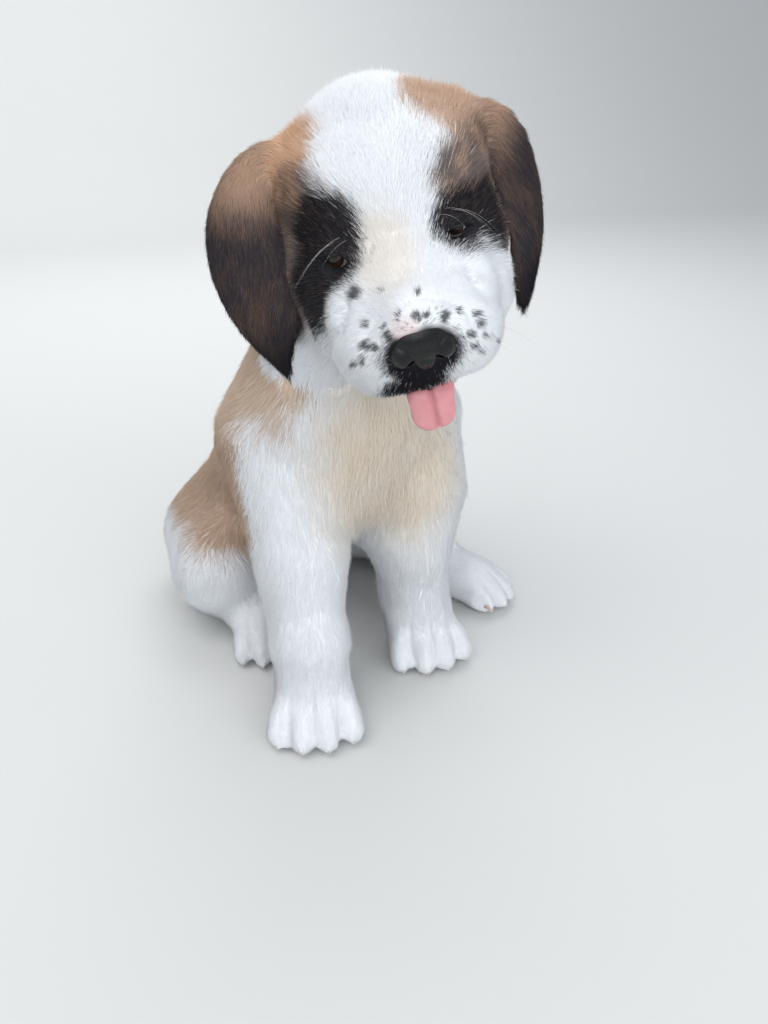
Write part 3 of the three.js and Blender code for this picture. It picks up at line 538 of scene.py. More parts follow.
class Finish:
    """A material being built around one Principled shader."""

    def __init__(self, name, **constants):
        self.material = bpy.data.materials.new(name)
        self.material.use_nodes = True
        self.tree = self.material.node_tree
        self.shader = self.tree.nodes["Principled BSDF"]
        for socket, value in constants.items():
            plug(self.tree, self.shader.inputs[socket.replace("_", " ")], value)

    def node(self, kind, settings=None, inputs=None, output=0):
        """A node of any other kind: its settings come first, then its sockets by name or number."""
        node = self.tree.nodes.new("ShaderNode" + kind)
        for name, value in (settings or {}).items():
            if name == "stops":
                self._set_stops(node.color_ramp, value)
            else:
                setattr(node, name, value)
        for name, value in (inputs or {}).items():
            plug(self.tree, node.inputs[name], value)
        return Wire(self.tree, node.outputs[output])

    @staticmethod
    def _set_stops(ramp, stops):
        while len(ramp.elements) < len(stops):
            ramp.elements.new(0.5)
        for element, (position, colour) in zip(ramp.elements, stops):
            element.position = position
            element.color = (*colour, 1)

    def attribute(self, name, output=0):
        """A number or colour that the mesh carries at each vertex."""
        return self.node("Attribute", {"attribute_name": name}, output=output)

    def place(self):
        """Object coordinates."""
        return self.node("TexCoord", output=3)

    def grain(self, scale, detail=3.0):
        """Noise from 0 to 1 over the object's own coordinates."""
        return self.node("TexNoise", None, {"Vector": self.place(), "Scale": scale, "Detail": detail})

    def mix(self, share, first, second, blend="MIX"):
        """Two colours mixed by a share."""
        settings = {"data_type": "RGBA", "blend_type": blend}
        return self.node("Mix", settings, {0: share, 6: first, 7: second}, output=2)

    def bump(self, height, strength, distance):
        """A normal that is tilted by a height."""
        return self.node("Bump", None, {"Height": height, "Strength": strength, "Distance": distance})

    def feed(self, **wires):
        """Links what changes over the surface to the shader."""
        for socket, wire in wires.items():
            plug(self.tree, self.shader.inputs[socket.replace("_", " ")], wire)
        return self.material


def fur_finish():
    """Soft hair in the colour that each tuft carries."""
    finish = Finish("fur", Specular_IOR_Level=0.10)
    colour = finish.attribute("coat_colour")
    grain = finish.grain(900, 2)
    colour = finish.mix(grain * 0.16, colour, (0.02, 0.02, 0.02), "SOFT_LIGHT")
    return finish.feed(Base_Color=colour, Roughness=0.62 + 0.2 * grain)


def skin_finish():
    """Undercoat close over the skin, with the markings of the coat, a short nap and painted shade in a
    pattern of tufts.
    """
    finish = Finish("undercoat", Specular_IOR_Level=0.08)
    colour = finish.attribute("coat_colour")
    nap = finish.grain(1400, 3)
    tufts = finish.grain(420, 3)
    # painted shade: the colour is darkened in a pattern of tufts, as if shaded by the fur over it
    shaded = finish.mix(0.34 * tufts, colour, (0.40, 0.36, 0.34), "MULTIPLY")
    height = nap * 0.5 + tufts
    return finish.feed(
        Base_Color=shaded, Roughness=0.7 + 0.2 * nap, Normal=finish.bump(height, 0.35, 0.0005))


def nose_finish(colour):
    """Bare black skin in small raised scales, moist on top, with painted shade in the grooves between the
    scales and in the nostrils.
    """
    finish = Finish("nose_leather", Coat_Roughness=0.3, Specular_IOR_Level=0.35)
    scales = finish.node(
        "TexVoronoi", {"feature": "DISTANCE_TO_EDGE"},
        {"Vector": finish.place(), "Scale": 850.0, "Randomness": 0.9})
    fine = finish.grain(3000, 2)
    groove = finish.node(
        "MapRange", {"interpolation_type": "SMOOTHSTEP"},
        {0: scales, 1: 0.0, 2: 0.28, 3: 0.0, 4: 1.0})
    # painted shade: the grooves between the scales are darkened
    tint = finish.mix(groove, tuple(0.45 * c for c in colour), colour)
    # painted shade: the nostrils and the groove below them are darkened to near black
    tint = finish.mix(finish.attribute("hollow", output=2), tint, (0.0008, 0.0008, 0.001))
    height = groove + fine * 0.2
    return finish.feed(
        Base_Color=tint, Roughness=0.40 - 0.10 * groove + 0.1 * fine, Coat_Weight=0.10 + 0.16 * groove,
        Normal=finish.bump(height, 0.3, 0.00022))


def tongue_finish(colour):
    """Moist pink flesh with fine papillae and painted shade in the middle groove."""
    finish = Finish(
        "tongue_flesh", Coat_Weight=0.5, Coat_Roughness=0.15, Subsurface_Weight=0.25,
        Subsurface_Radius=(0.004, 0.0015, 0.001), Subsurface_Scale=1.0)
    papillae = finish.node(
        "TexVoronoi", {"feature": "F1"}, {"Vector": finish.place(), "Scale": 1300.0})
    cloud = finish.grain(160, 3)
    tint = finish.mix(cloud, colour, tuple(c * k for c, k in zip(colour, (0.86, 0.66, 0.68))))
    deep = finish.attribute("groove")
    # painted shade: the middle groove is darkened
    tint = finish.mix(deep * 0.45, tint, tuple(c * k for c, k in zip(colour, (0.6, 0.38, 0.40))))
    height = 1.0 - papillae
    return finish.feed(
        Base_Color=tint, Roughness=0.38 + 0.2 * cloud, Normal=finish.bump(height, 0.35, 0.0003))


def eye_finish(iris):
    """Pupil, iris and white in rings about the gaze, under a wet cornea."""
    finish = Finish("eyeball", Roughness=0.08, Coat_Weight=0.4, Coat_Roughness=0.02, IOR=1.38)
    ring = finish.attribute("eye_ring", output=2)
    streaks = finish.grain(1500, 2)
    stops = (
        (0.0, (0.002, 0.002, 0.002)),
        (0.10, (0.003, 0.002, 0.002)),
        (0.13, tuple(0.5 * c for c in iris)),
        (0.21, tuple(1.0 * c for c in iris)),
        (0.245, tuple(0.3 * c for c in iris)),
        (0.265, (0.03, 0.02, 0.018)),
        (0.30, linear(214, 196, 188)),
        (1.0, linear(190, 140, 130)),
    )
    rings = finish.node("ValToRGB", {"stops": stops}, {0: ring})
    tint = finish.mix(0.35 * streaks, rings, (0.004, 0.003, 0.003))
    return finish.feed(Base_Color=tint)


def lid_finish():
    """Black lid edges with a paler moist rim inside."""
    finish = Finish("lid_edge", Coat_Weight=0.35, Coat_Roughness=0.25)
    moist = finish.attribute("moist", output=2)
    grain = finish.grain(1800, 2)
    dark = finish.mix(grain, (0.008, 0.008, 0.010), (0.030, 0.026, 0.028))
    tint = finish.mix(moist, dark, linear(176, 122, 112))
    return finish.feed(Base_Color=tint, Roughness=0.5 - 0.2 * moist, Normal=finish.bump(grain, 0.3, 0.0002))


def claw_finish(colour):
    """Pale horn, darker at the quick, with fine lengthwise grain."""
    finish = Finish("claw_horn", Coat_Weight=0.2, Coat_Roughness=0.3)
    root = finish.attribute("root", output=2)
    grain = finish.grain(900, 3)
    tint = finish.mix(grain * 0.5, colour, tuple(0.7 * c for c in colour))
    tint = finish.mix(root * 0.5, tint, linear(190, 140, 130))
    return finish.feed(Base_Color=tint, Roughness=0.34 + 0.2 * grain, Normal=finish.bump(grain, 0.2, 0.0002))


def whisker_finish():
    """Stiff pale hair."""
    finish = Finish("whisker", Specular_IOR_Level=0.5)
    grain = finish.grain(200, 1)
    colour = finish.attribute("coat_colour")
    return finish.feed(Base_Color=colour, Roughness=0.35 + 0.15 * grain)


def floor_finish(colour):
    """A plain pale floor with a faint grain."""
    finish = Finish("floor", Specular_IOR_Level=0.2)
    grain = finish.grain(6, 2)
    tint = finish.mix(grain * 0.25, colour, tuple(0.94 * c for c in colour))
    return finish.feed(Base_Color=tint, Roughness=0.75 + 0.1 * grain)


# Meshes


def deselect_all():
    """Leaves nothing selected and nothing active."""
    if bpy.context.object and bpy.context.object.mode != "OBJECT":
        bpy.ops.object.mode_set(mode="OBJECT")
    bpy.ops.object.select_all(action="DESELECT")


def activate(obj):
    """Makes one object the only one selected."""
    deselect_all()
    obj.select_set(True)
    bpy.context.view_layer.objects.active = obj


def apply_modifier(obj, kind, **settings):
    """Adds one modifier and applies it."""
    activate(obj)
    modifier = obj.modifiers.new(kind.lower(), kind)
    for name, value in settings.items():
        setattr(modifier, name, value)
    bpy.ops.object.modifier_apply(modifier=modifier.name)


def copy_of(name, nodes):
    """A new object with the meshes of some CAD nodes, each welded into a closed surface."""
    copies = []
    deselect_all()
    for node in nodes:
        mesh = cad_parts[node].data.copy()
        copy = bpy.data.objects.new(name, mesh)
        bpy.context.scene.collection.objects.link(copy)
        copy.select_set(True)
        copies.append(copy)
    whole = copies[0]
    bpy.context.view_layer.objects.active = whole
    if len(copies) > 1:
        bpy.ops.object.join()
    whole.data.materials.clear()
    bpy.ops.object.mode_set(mode="EDIT")
    bpy.ops.mesh.select_all(action="SELECT")
    bpy.ops.mesh.remove_doubles(threshold=1e-5)
    bpy.ops.object.mode_set(mode="OBJECT")
    whole.name = name
    whole.data.name = name
    return whole


def smooth_surface(obj):
    """Shades every face smooth."""
    obj.data.polygons.foreach_set("use_smooth", np.ones(len(obj.data.polygons), bool))
    obj.data.update()


def dress(obj, material, slot, *nodes):
    """Gives a finished piece its material and body, and hides the CAD nodes that it stands for. The slot is
    not used.
    """
    obj.data.materials.clear()
    obj.data.materials.append(material)
    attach(obj, "root")
    if nodes:
        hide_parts(*nodes)
    return obj


def set_number(mesh, name, values):
    """A number at each vertex, for a material to read."""
    layer = mesh.attributes.new(name, "FLOAT", "POINT")
    layer.data.foreach_set("value", np.asarray(values, np.float32))


def set_colour(mesh, name, colours):
    """A colour at each vertex, for a material to read."""
    layer = mesh.color_attributes.new(name, "FLOAT_COLOR", "POINT")
    rgba = np.ones((len(colours), 4), np.float32)
    rgba[:, :3] = colours
    layer.data.foreach_set("color", rgba.ravel())


def mesh_of(name, points, triangles):
    """A mesh object from arrays of points and of triangles."""
    mesh = bpy.data.meshes.new(name)
    mesh.vertices.add(len(points))
    mesh.vertices.foreach_set("co", np.ascontiguousarray(points, np.float32).ravel())
    mesh.loops.add(3 * len(triangles))
    mesh.loops.foreach_set("vertex_index", np.ascontiguousarray(triangles, np.int32).ravel())
    mesh.polygons.add(len(triangles))
    mesh.polygons.foreach_set("loop_start", np.arange(0, 3 * len(triangles), 3, dtype=np.int32))
    mesh.update(calc_edges=True)
    obj = bpy.data.objects.new(name, mesh)
    bpy.context.scene.collection.objects.link(obj)
    smooth_surface(obj)
    return obj


def nodes_near(points):
    """The name of the flesh node whose surface is nearest to each point."""
    names, corners, faces = [], [], []
    count = 0
    for node in FLESH:
        surface = Surface(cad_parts[node].data)
        corners += surface.points.tolist()
        faces += (surface.triangles + count).tolist()
        names += [node] * len(surface.triangles)
        count += len(surface.points)
    tree = BVHTree.FromPolygons(corners, faces)
    return np.array([names[tree.find_nearest(point)[2]] for point in points.tolist()])


# Skin

SKIN_STEP = 0.0020  # the grid that the skin is closed on
CLOSING = 0.0004  # each solid grows by this first, so that the gaps between them close
LID_SEAT = 10.6  # the skin round an eye keeps at least this far from the eyeball's centre, mm
SOCKET_SEAT = 7.0  # the skin inside the opening lies this far from it
OPENING_EDGE = 1.08  # the share of an opening's size at which the skin turns in
EYE_SLITS = {1: (8.0, 3.3), -1: (8.0, 5.6)}  # half width and height of the left and right opening, mm
EYE_SLANT = {"roll": 6.0, "yaw": 14.0}  # how an eye's opening is turned on the left side, degrees
NOSE_OVAL = ((0, -111, -21), (17.5, 14, 13), 0.2)

# Creases of the face: points along each, then its width and depth, all in the head's frame in mm.
FOLDS = {
    "over the nose": (
        ((-27, -104, -20), (-23.8, -104.6, -13.3), (-19.5, -103.6, -9), (-12, -104.8, -4.5),
         (-4, -106.2, -1), (4, -105.8, -0.6), (13.2, -104.5, -5.3), (19.9, -103.5, -9.8),
         (24.5, -105.2, -14.5), (26.3, -109.2, -21.1)), 2.3, 1.2),
    "right cheek": (
        ((-31.1, -84.6, -8), (-34, -91, -10.5), (-37, -93.5, -15), (-42, -88, -22),
         (-46, -80, -32), (-48.8, -76, -40), (-50, -70, -52)), 3.0, 2.6),
    "left cheek": (
        ((29, -76, -2), (31.3, -83, -6.5), (31.6, -90.5, -8.7), (33, -95.5, -12.5),
         (37, -95.6, -17.5), (41.5, -90, -23), (46.7, -78.6, -33.5), (49, -68, -44)), 3.0, 1.9),
    "frown": (((-1.6, -69.3, 12.3), (8, -70, 10.9), (14.1, -72, 7.2)), 2.2, 0.25),
    "inner corner": (((-12.2, -66.6, 11.2), (-13.6, -71, 8.4)), 1.8, 0.5),
    "under the right eye": (((-20, -72, 1), (-28, -73, -6), (-38, -68, -9)), 2.4, 0.8),
}
# Soft swellings between them: centre, radii and how far each rises.
SWELLINGS = (
    ((42, -80, -15), (13, 15, 12), 0.9),
    ((-40, -98, -30), (15, 15, 18), 1.6),
    ((34, -104, -30), (14, 14, 16), 1.2),
    ((0, -109, -7), (18, 9, 7), 0.9),
    ((-42, -82, -10), (12, 14, 10), 0.8),
)
# The front edge of each ear, which is drawn against the head: its line, reach and how far it moves.
EAR_EDGES = {
    "ear_left": (
        ((50, -2, 24), (62.6, -6, 0.8), (65.2, -13.6, -16), (67.8, -24.4, -32.4),
         (66.4, -34.4, -51.8)), 11, (-5.0, -12.0, 1.0)),
    "ear_right": (
        ((-60, -6, 24), (-66.6, -13.9, 13.5), (-68.5, -20.3, 2), (-67.6, -29.8, -21.7),
         (-70, -38, -36)), 9, (9.0, -4.0, 0)),
}
# Where each ear grows out of the head without a step: a line and how far it is softened to each side.
EAR_ROOTS = (
    (((-54, 14, 40), (-53, 1, 35), (-55, -8, 30), (-58, -14, 19)), 8),
    (((59, 19, 31), (61, 10, 27), (61, 1, 20), (62, -5, 8)), 7),
)
# The upper lips hang over the tongue: centre, radii and how far each part is drawn.
LIP_PULLS = (
    ((-2, -112, -42), (26, 14, 12), (0, -1.6, -6.0)),
    ((-26, -104, -46), (15, 16, 12), (-0.5, 0, -2.5)),
    ((24, -106, -44), (13, 14, 12), (0.5, 0, -1.5)),
)


def eye_axes(side):
    """Across, up and out of an eye's opening, in the head's frame."""
    turn = (
        Matrix.Rotation(math.radians(EYE_SLANT["yaw"]) * side, 3, "Z")
        @ Matrix.Rotation(math.radians(EYE_SLANT["roll"]) * side, 3, "Y")
    )
    across, back, up = np.array(turn).T
    return across, up, -back


def eye_place(head, side):
    """Points about an eye, as across, up and out of its opening, in mm from the eyeball's centre."""
    centre = EYE_AT * (side, 1, 1)
    return (head - centre) @ np.stack(eye_axes(side), axis=1)


def opening_share(place, side):
    """Under 1 inside the opening between the lids, over 1 outside it."""
    across, up = place[:, 0], place[:, 1]
    half_width, half_height = EYE_SLITS[side]
    return np.hypot(across / half_width, (up - 0.2) / half_height)


class PUPPY_OT_skin(bpy.types.Operator):
    """One skin under the whole coat, with the lids, lips and folds of the face"""

    bl_idname = "puppy.skin"
    bl_label = "Skin"

    def execute(self, context):
        skin = copy_of("skin", FLESH)
        apply_modifier(skin, "DISPLACE", strength=CLOSING, mid_level=0)
        apply_modifier(skin, "REMESH", mode="VOXEL", voxel_size=SKIN_STEP, use_smooth_shade=True)
        apply_modifier(skin, "SMOOTH", factor=0.5, iterations=3)
        self.refine_face(skin)
        surface = Surface(skin.data)
        nodes = nodes_near(surface.points)
        depth = self.coat_depth(surface, nodes)
        normals = unit(surface.spread(surface.normals, 3))
        points = surface.points - normals * (depth * MM)[:, None]
        points = self.soften_folds(points, surface)
        points = self.draw_ears(points, nodes, surface)
        points = self.seat_eyes(self.hang_lips(points))
        move_points(skin, points)
        smooth_surface(skin)
        set_colour(skin.data, "coat_colour", coat_colours(points, nodes, 0.0, 5))
        set_number(skin.data, "node", [FLESH.index(node) for node in nodes])
        dress(skin, skin_finish(), "coat", *FLESH)
        return {"FINISHED"}

    @classmethod
    def coat_depth(cls, surface, nodes):
        """How deep the skin lies under the coat at each point, in mm, with its folds and grooves."""
        areas = coat_areas(surface.points, nodes)
        head = to_head(surface.points)
        bare = within(head, (NOSE_OVAL[0], tuple(1.35 * r for r in NOSE_OVAL[1]), 0.5))
        for side in SIDES.values():
            near = np.linalg.norm(eye_place(head, side), axis=1)
            bare = np.maximum(bare, 1 - smooth_step(near, 12, 18))
        depth = np.array([AREAS[area]["depth"] for area in areas])
        depth = surface.spread(depth, 14) * (1 - bare)
        depth -= cls.fold_height(head)
        depth += cls.toe_grooves(surface.points)
        return depth

    @staticmethod
    def refine_face(skin):
        """Halves the grid over the face, where the forms are small."""
        surface = Surface(skin.data)
        head = to_head(surface.points)
        on_face = (head[:, 1] < -38) & (head[:, 2] > -75) & (np.abs(head[:, 0]) < 60)
        activate(skin)
        skin.data.vertices.foreach_set("select", on_face)
        bpy.ops.object.mode_set(mode="EDIT")
        bpy.ops.mesh.select_mode(type="VERT")
        bpy.ops.mesh.subdivide(number_cuts=1, smoothness=0.6)
        bpy.ops.object.mode_set(mode="OBJECT")

    @staticmethod
    def fold_height(head):
        """How far the folds and swellings of the face raise each point, in mm."""
        height = np.zeros(len(head))
        for line, width, depth in FOLDS.values():
            gap = distance_to_line(head, line)
            crease = np.exp(-(gap / width) ** 2)
            banks = np.exp(-((gap - 2.4 * width) / (1.5 * width)) ** 2)
            height += depth * (0.12 * banks - crease)
        for centre, radii, rise in SWELLINGS:
            gap = np.linalg.norm((head - centre) / np.array(radii), axis=1)
            height += rise * np.exp(-gap**2)
        return height

    @staticmethod
    def soften_folds(points, surface):
        """Rounds the banks of the cheek folds, so that the fur closes over them."""
        head = to_head(points)
        soft = surface.spread(points, 14)
        for name in ("left cheek", "right cheek"):
            gap = distance_to_line(head, FOLDS[name][0])
            share = np.exp(-(gap / 7) ** 2)[:, None]
            points = points * (1 - share) + soft * share
        return points

    @staticmethod
    def toe_grooves(points):
        """How deep the grooves between the toes lie at each point, in mm."""
        depth = np.zeros(len(points))
        for paw, facts in PAWS.items():
            length, width, height = facts["size"]
            place = to_paw(points, paw)
            spread = place[:, 0] / (width * 0.235)
            forward = smooth_step(-place[:, 1], length * 0.04, length * 0.26)
            near = np.abs(spread) < 2.3
            side = np.abs(place[:, 1] + length * 0.2) < length * 0.6
            low = smooth_step(-place[:, 2], -height * 1.15, -height * 0.8)
            for groove in (-1, 0, 1):
                gap = (spread - groove * (1 + 0.06 * forward)) * width * 0.235
                depth += 1.5 * np.exp(-(gap / 1.2) ** 2) * forward * low * near * side
        return depth

    @staticmethod
    def draw_ears(points, nodes, surface):
        """Draws the front edge of each ear against the side of the head."""
        head = to_head(points)
        for node, (line, reach, pull) in EAR_EDGES.items():
            gap = distance_to_line(head, line)
            share = surface.spread(np.exp(-(gap / reach) ** 2) * (nodes == node), 4)
            head = head + share[:, None] * np.array(pull)
        soft = surface.spread(head, 30)
        for line, reach in EAR_ROOTS:
            share = np.exp(-(distance_to_line(head, line) / reach) ** 2)[:, None]
            head = head * (1 - share) + soft * share
        return from_head(head)

    @staticmethod
    def hang_lips(points):
        """Draws the upper lips down over the root of the tongue."""
        head = to_head(points)
        for centre, radii, pull in LIP_PULLS:
            gap = np.linalg.norm((head - centre) / np.array(radii), axis=1)
            head = head + np.exp(-1.6 * gap[:, None] ** 2) * np.array(pull)
        return from_head(head)

    @staticmethod
    def seat_eyes(points):
        """Keeps the skin outside each eyeball round its opening, and behind it within the opening."""
        head = to_head(points)
        for side in SIDES.values():
            centre = EYE_AT * (side, 1, 1)
            place = eye_place(head, side)
            distance = np.linalg.norm(place, axis=1)
            share = opening_share(place, side)
            front = place[:, 2] > 0
            seat = np.where(share < OPENING_EDGE, SOCKET_SEAT, LID_SEAT)
            inside = front & (distance < 14) & (share < OPENING_EDGE)
            close = front & (distance < LID_SEAT) & ~inside
            moved = inside | close
            head[moved] = centre + (head[moved] - centre) / distance[moved, None] * seat[moved, None]
        return from_head(head)


# Fur

LIE_SOURCE = np.array((0, -114, -18))  # the fur of the head runs away from here, in its frame, mm
TAIL_LINE = np.array(
    ((0, 158, 40), (8, 186, 24), (34, 204, 17), (68, 203, 14), (96, 188, 10)), float)
EAR_LIE = {"ear_left": (18, -58, -92), "ear_right": (-24, -60, -92)}
BAKE_PATCH = 0.003  # a tuft's size on the OFBake map
PIECE_LIMIT = 200000  # each piece of the coat has fewer triangles
AREA_BLEND = {"crowd": 6, "length": 16, "width": 16, "lift": 16}  # rounds of blending between areas
STRAY = 1.9  # how far single hairs stray over the edge of a marking, mm
SOLE_HEIGHT = 0.0022  # the soles are bare below this height
TORSO_CUTS = (0.0, 0.07)  # the torso's fur is parted at these y
COAT_PIECES = (
    "muzzle", "face_left", "face_right", "crown", "ear_left", "ear_right", "neck",
    "torso_front", "torso_middle", "torso_back", "foreleg_left", "foreleg_right", "hindleg_left",
    "hindleg_right", "forepaws", "hindpaws", "tail",
)


def lie_of_coat(surface, nodes, areas):
    """The way the fur runs at each point of the skin, smoothed from one area to the next."""
    head = to_head(surface.points)
    count = len(surface.points)
    lie = np.tile((0.0, 0.25, -1.0), (count, 1))
    down_in_head = np.array((0, 0, -1.0)) @ HEAD_AXES
    on_head = np.isin(areas, ("muzzle", "face", "crown"))
    away = unit(head - LIE_SOURCE)
    below = smooth_step(-head[:, 2], -6, 26)[:, None]
    run = away + down_in_head * (0.15 + 0.75 * below)
    for side in SIDES.values():
        place = eye_place(head, side)
        near = 1 - smooth_step(np.linalg.norm(place, axis=1), 10, 22)
        run += unit(head - EYE_AT * (side, 1, 1)) * (0.75 * near)[:, None]
    lie[on_head] = unit(run[on_head]) @ HEAD_AXES.T
    for node, direction in EAR_LIE.items():
        lie[nodes == node] = unit(head_direction(direction))
    for node, aim in PAW_AIMS.items():
        turn = math.radians(aim)
        lie[nodes == node] = unit(np.array((math.sin(turn), -math.cos(turn), -0.55)))
    lie[areas == "torso"] = unit(np.array((0, 0.35, -1.0)))
    lie[areas == "foreleg"] = unit(np.array((0, 0.1, -1.0)))
    lie[areas == "hindleg"] = unit(np.array((0, 0.1, -1.0)))
    on_tail = areas == "tail"
    line = TAIL_LINE * MM + DRAWN_AT
    middles = (line[1:] + line[:-1]) / 2
    gap = np.linalg.norm(surface.points[on_tail][:, None] - middles[None], axis=2)
    lie[on_tail] = unit(line[1:] - line[:-1])[np.argmin(gap, axis=1)]
    for _ in range(4):
        lie -= surface.normals * np.sum(lie * surface.normals, axis=1, keepdims=True)
        lie = unit(surface.spread(unit(lie), 8))
    return lie


def piece_of(points, nodes, areas):
    """Which piece of the coat each point belongs to."""
    head = to_head(points)
    piece = np.array(areas, dtype="U16")
    face = areas == "face"
    piece[face] = np.where(head[face, 0] > 0, "face_left", "face_right")
    for kind in ("ear", "foreleg", "hindleg"):
        on = areas == kind
        piece[on] = nodes[on]
    torso = areas == "torso"
    names = np.array(("torso_front", "torso_middle", "torso_back"))
    piece[torso] = names[np.searchsorted(TORSO_CUTS, points[torso, 1])]
    piece[np.isin(nodes, ("forepaw_left", "forepaw_right"))] = "forepaws"
    piece[np.isin(nodes, ("hindpaw_left", "hindpaw_right"))] = "hindpaws"
    return piece


class Unwrap:
    """A coarse copy of the skin laid out flat piece by piece, so that a root has a place on it."""

    def __init__(self, skin):
        self.obj = skin.copy()
        self.obj.data = skin.data.copy()
        bpy.context.scene.collection.objects.link(self.obj)
        apply_modifier(self.obj, "REMESH", mode="VOXEL", voxel_size=0.0075)
        apply_modifier(self.obj, "SMOOTH", factor=0.5, iterations=4)
        apply_modifier(self.obj, "TRIANGULATE")
        self.surface = Surface(self.obj.data)
        corner_nodes = nodes_near(self.surface.points)
        areas = coat_areas(self.surface.points, corner_nodes)
        self.pieces = piece_of(self.surface.points, corner_nodes, areas)
        mesh = self.obj.data
        self.faces = np.empty(3 * len(mesh.polygons), np.int64)
        mesh.polygons.foreach_get("vertices", self.faces)
        self.faces = self.faces.reshape(-1, 3)
        while mesh.uv_layers:
            mesh.uv_layers.remove(mesh.uv_layers[0])
        mesh.uv_layers.new(name="flat")

    def places(self, pieces, roots):
        """The place of each root on the layout of some pieces, as two numbers from 0 to 1."""
        mesh = self.obj.data
        chosen = np.any(np.isin(self.pieces[self.faces], pieces), axis=1)
        activate(self.obj)
        bpy.ops.object.mode_set(mode="EDIT")
        bpy.ops.mesh.select_mode(type="FACE")
        bpy.ops.mesh.select_all(action="DESELECT")
        bpy.ops.object.mode_set(mode="OBJECT")
        mesh.polygons.foreach_set("select", chosen)
        bpy.ops.object.mode_set(mode="EDIT")
        bpy.ops.uv.smart_project(angle_limit=math.radians(75), island_margin=0.006)
        bpy.ops.object.mode_set(mode="OBJECT")
        flat = np.empty(2 * len(mesh.loops))
        mesh.uv_layers["flat"].data.foreach_get("uv", flat)
        flat = flat.reshape(-1, 3, 2)[chosen]
        faces = self.faces[chosen]
        tree = BVHTree.FromPolygons(self.surface.points.tolist(), faces.tolist())
        found = [tree.find_nearest(root) for root in roots.tolist()]
        face = np.array([hit[2] for hit in found])
        spot = np.array([hit[0] for hit in found])
        a, b, c = (self.surface.points[faces[face, k]] for k in range(3))
        normal = np.cross(b - a, c - a)
        size = np.sum(normal * normal, axis=1)
        weight_b = np.sum(np.cross(spot - a, c - a) * normal, axis=1) / size
        weight_c = np.sum(np.cross(b - a, spot - a) * normal, axis=1) / size
        weights = np.clip(np.stack((1 - weight_b - weight_c, weight_b, weight_c), axis=1), 0, 1)
        place = np.sum(flat[face] * weights[:, :, None], axis=1)
        return np.clip(place, BAKE_PATCH, 1 - BAKE_PATCH)

    def remove(self):
        """Takes the coarse copy away."""
        mesh = self.obj.data
        bpy.data.objects.remove(self.obj)
        bpy.data.meshes.remove(mesh)


TUFT_FACES = ((0, 2, 1), (0, 1, 3), (1, 2, 3), (2, 0, 3))  # a three-sided root and a tip
TUFT_FLATNESS = 0.7
ROOT_SHADE = 0.92  # painted shade: the root's brightness beside that of the tip, darker as if shaded by the coat
ROOTED = 0.15  # the share of a tuft that lies under the skin
ROUNDNESS = 0.7  # how far a tuft's shading turns from that of the skin under it
FLOOR_GAP = 0.0002  # no hair comes nearer to the floor


def tufts(roots, normals, lie, length, width, lift, curl):
    """Closed, tapered, three-sided locks. Gives points, normals and triangles."""
    side = unit(np.cross(normals, lie))
    length, lift = length[:, None], lift[:, None]
    foot = roots - normals * (ROOTED * length * np.sin(lift))
    heading = unit(np.cos(lift) * lie + np.sin(lift) * normals + side * curl[:, None] * 0.3)
    across = side * width[:, None] / 2
    through = np.cross(heading, side)
    points, facing = [], []
    for corner in range(3):
        turn = 2 * math.pi * corner / 3
        outward = side * math.cos(turn) + through * math.sin(turn)
        thick = through * width[:, None] / 2 * TUFT_FLATNESS
        points.append(foot + across * math.cos(turn) + thick * math.sin(turn))
        facing.append(unit(normals + outward * ROUNDNESS))
    points.append(foot + heading * length)
    facing.append(unit(normals + heading * ROUNDNESS))
    points = np.stack(points, axis=1)
    points[:, :, 2] = np.maximum(points[:, :, 2], FLOOR_GAP)
    shift = points.shape[1] * np.arange(len(roots))[:, None, None]
    return points, np.stack(facing, axis=1), (np.array(TUFT_FACES) + shift).reshape(-1, 3)


def scatter(surface, crowd, rng):
    """Random places on a surface: the corners of the triangle that each lies on and its weights."""
    a, b, c = (surface.points[surface.triangles[:, k]] for k in range(3))
    area_cm2 = np.linalg.norm(np.cross(b - a, c - a), axis=1) / 2 * 1e4
    expected = area_cm2 * crowd[surface.triangles].mean(axis=1)
    steps = np.cumsum(expected)
    count = int(steps[-1])
    face = np.searchsorted(steps, (np.arange(count) + rng.random(count)) * steps[-1] / count)
    corner = surface.triangles[np.minimum(face, len(expected) - 1)]
    return corner, rng.dirichlet((1, 1, 1), count)


def bake_map(mesh, place, count):
    """The OFBake map: each hair, of so many rings and a tip, is a small patch at its root's place."""
    across = np.array([(k % 3) / 2 - 0.5 for k in range(3 * count)] + [0.0])
    along = np.array([k // 3 / count - 0.5 for k in range(3 * count)] + [0.5])
    offsets = np.stack((across, along), axis=1) * BAKE_PATCH
    corners = (place[:, None] + offsets[None]).reshape(-1, 2)
    index = np.empty(len(mesh.loops), np.int32)
    mesh.loops.foreach_get("vertex_index", index)
    layer = mesh.uv_layers.new(name="OFBake")
    layer.data.foreach_set("uv", corners[index].astype(np.float32).ravel())


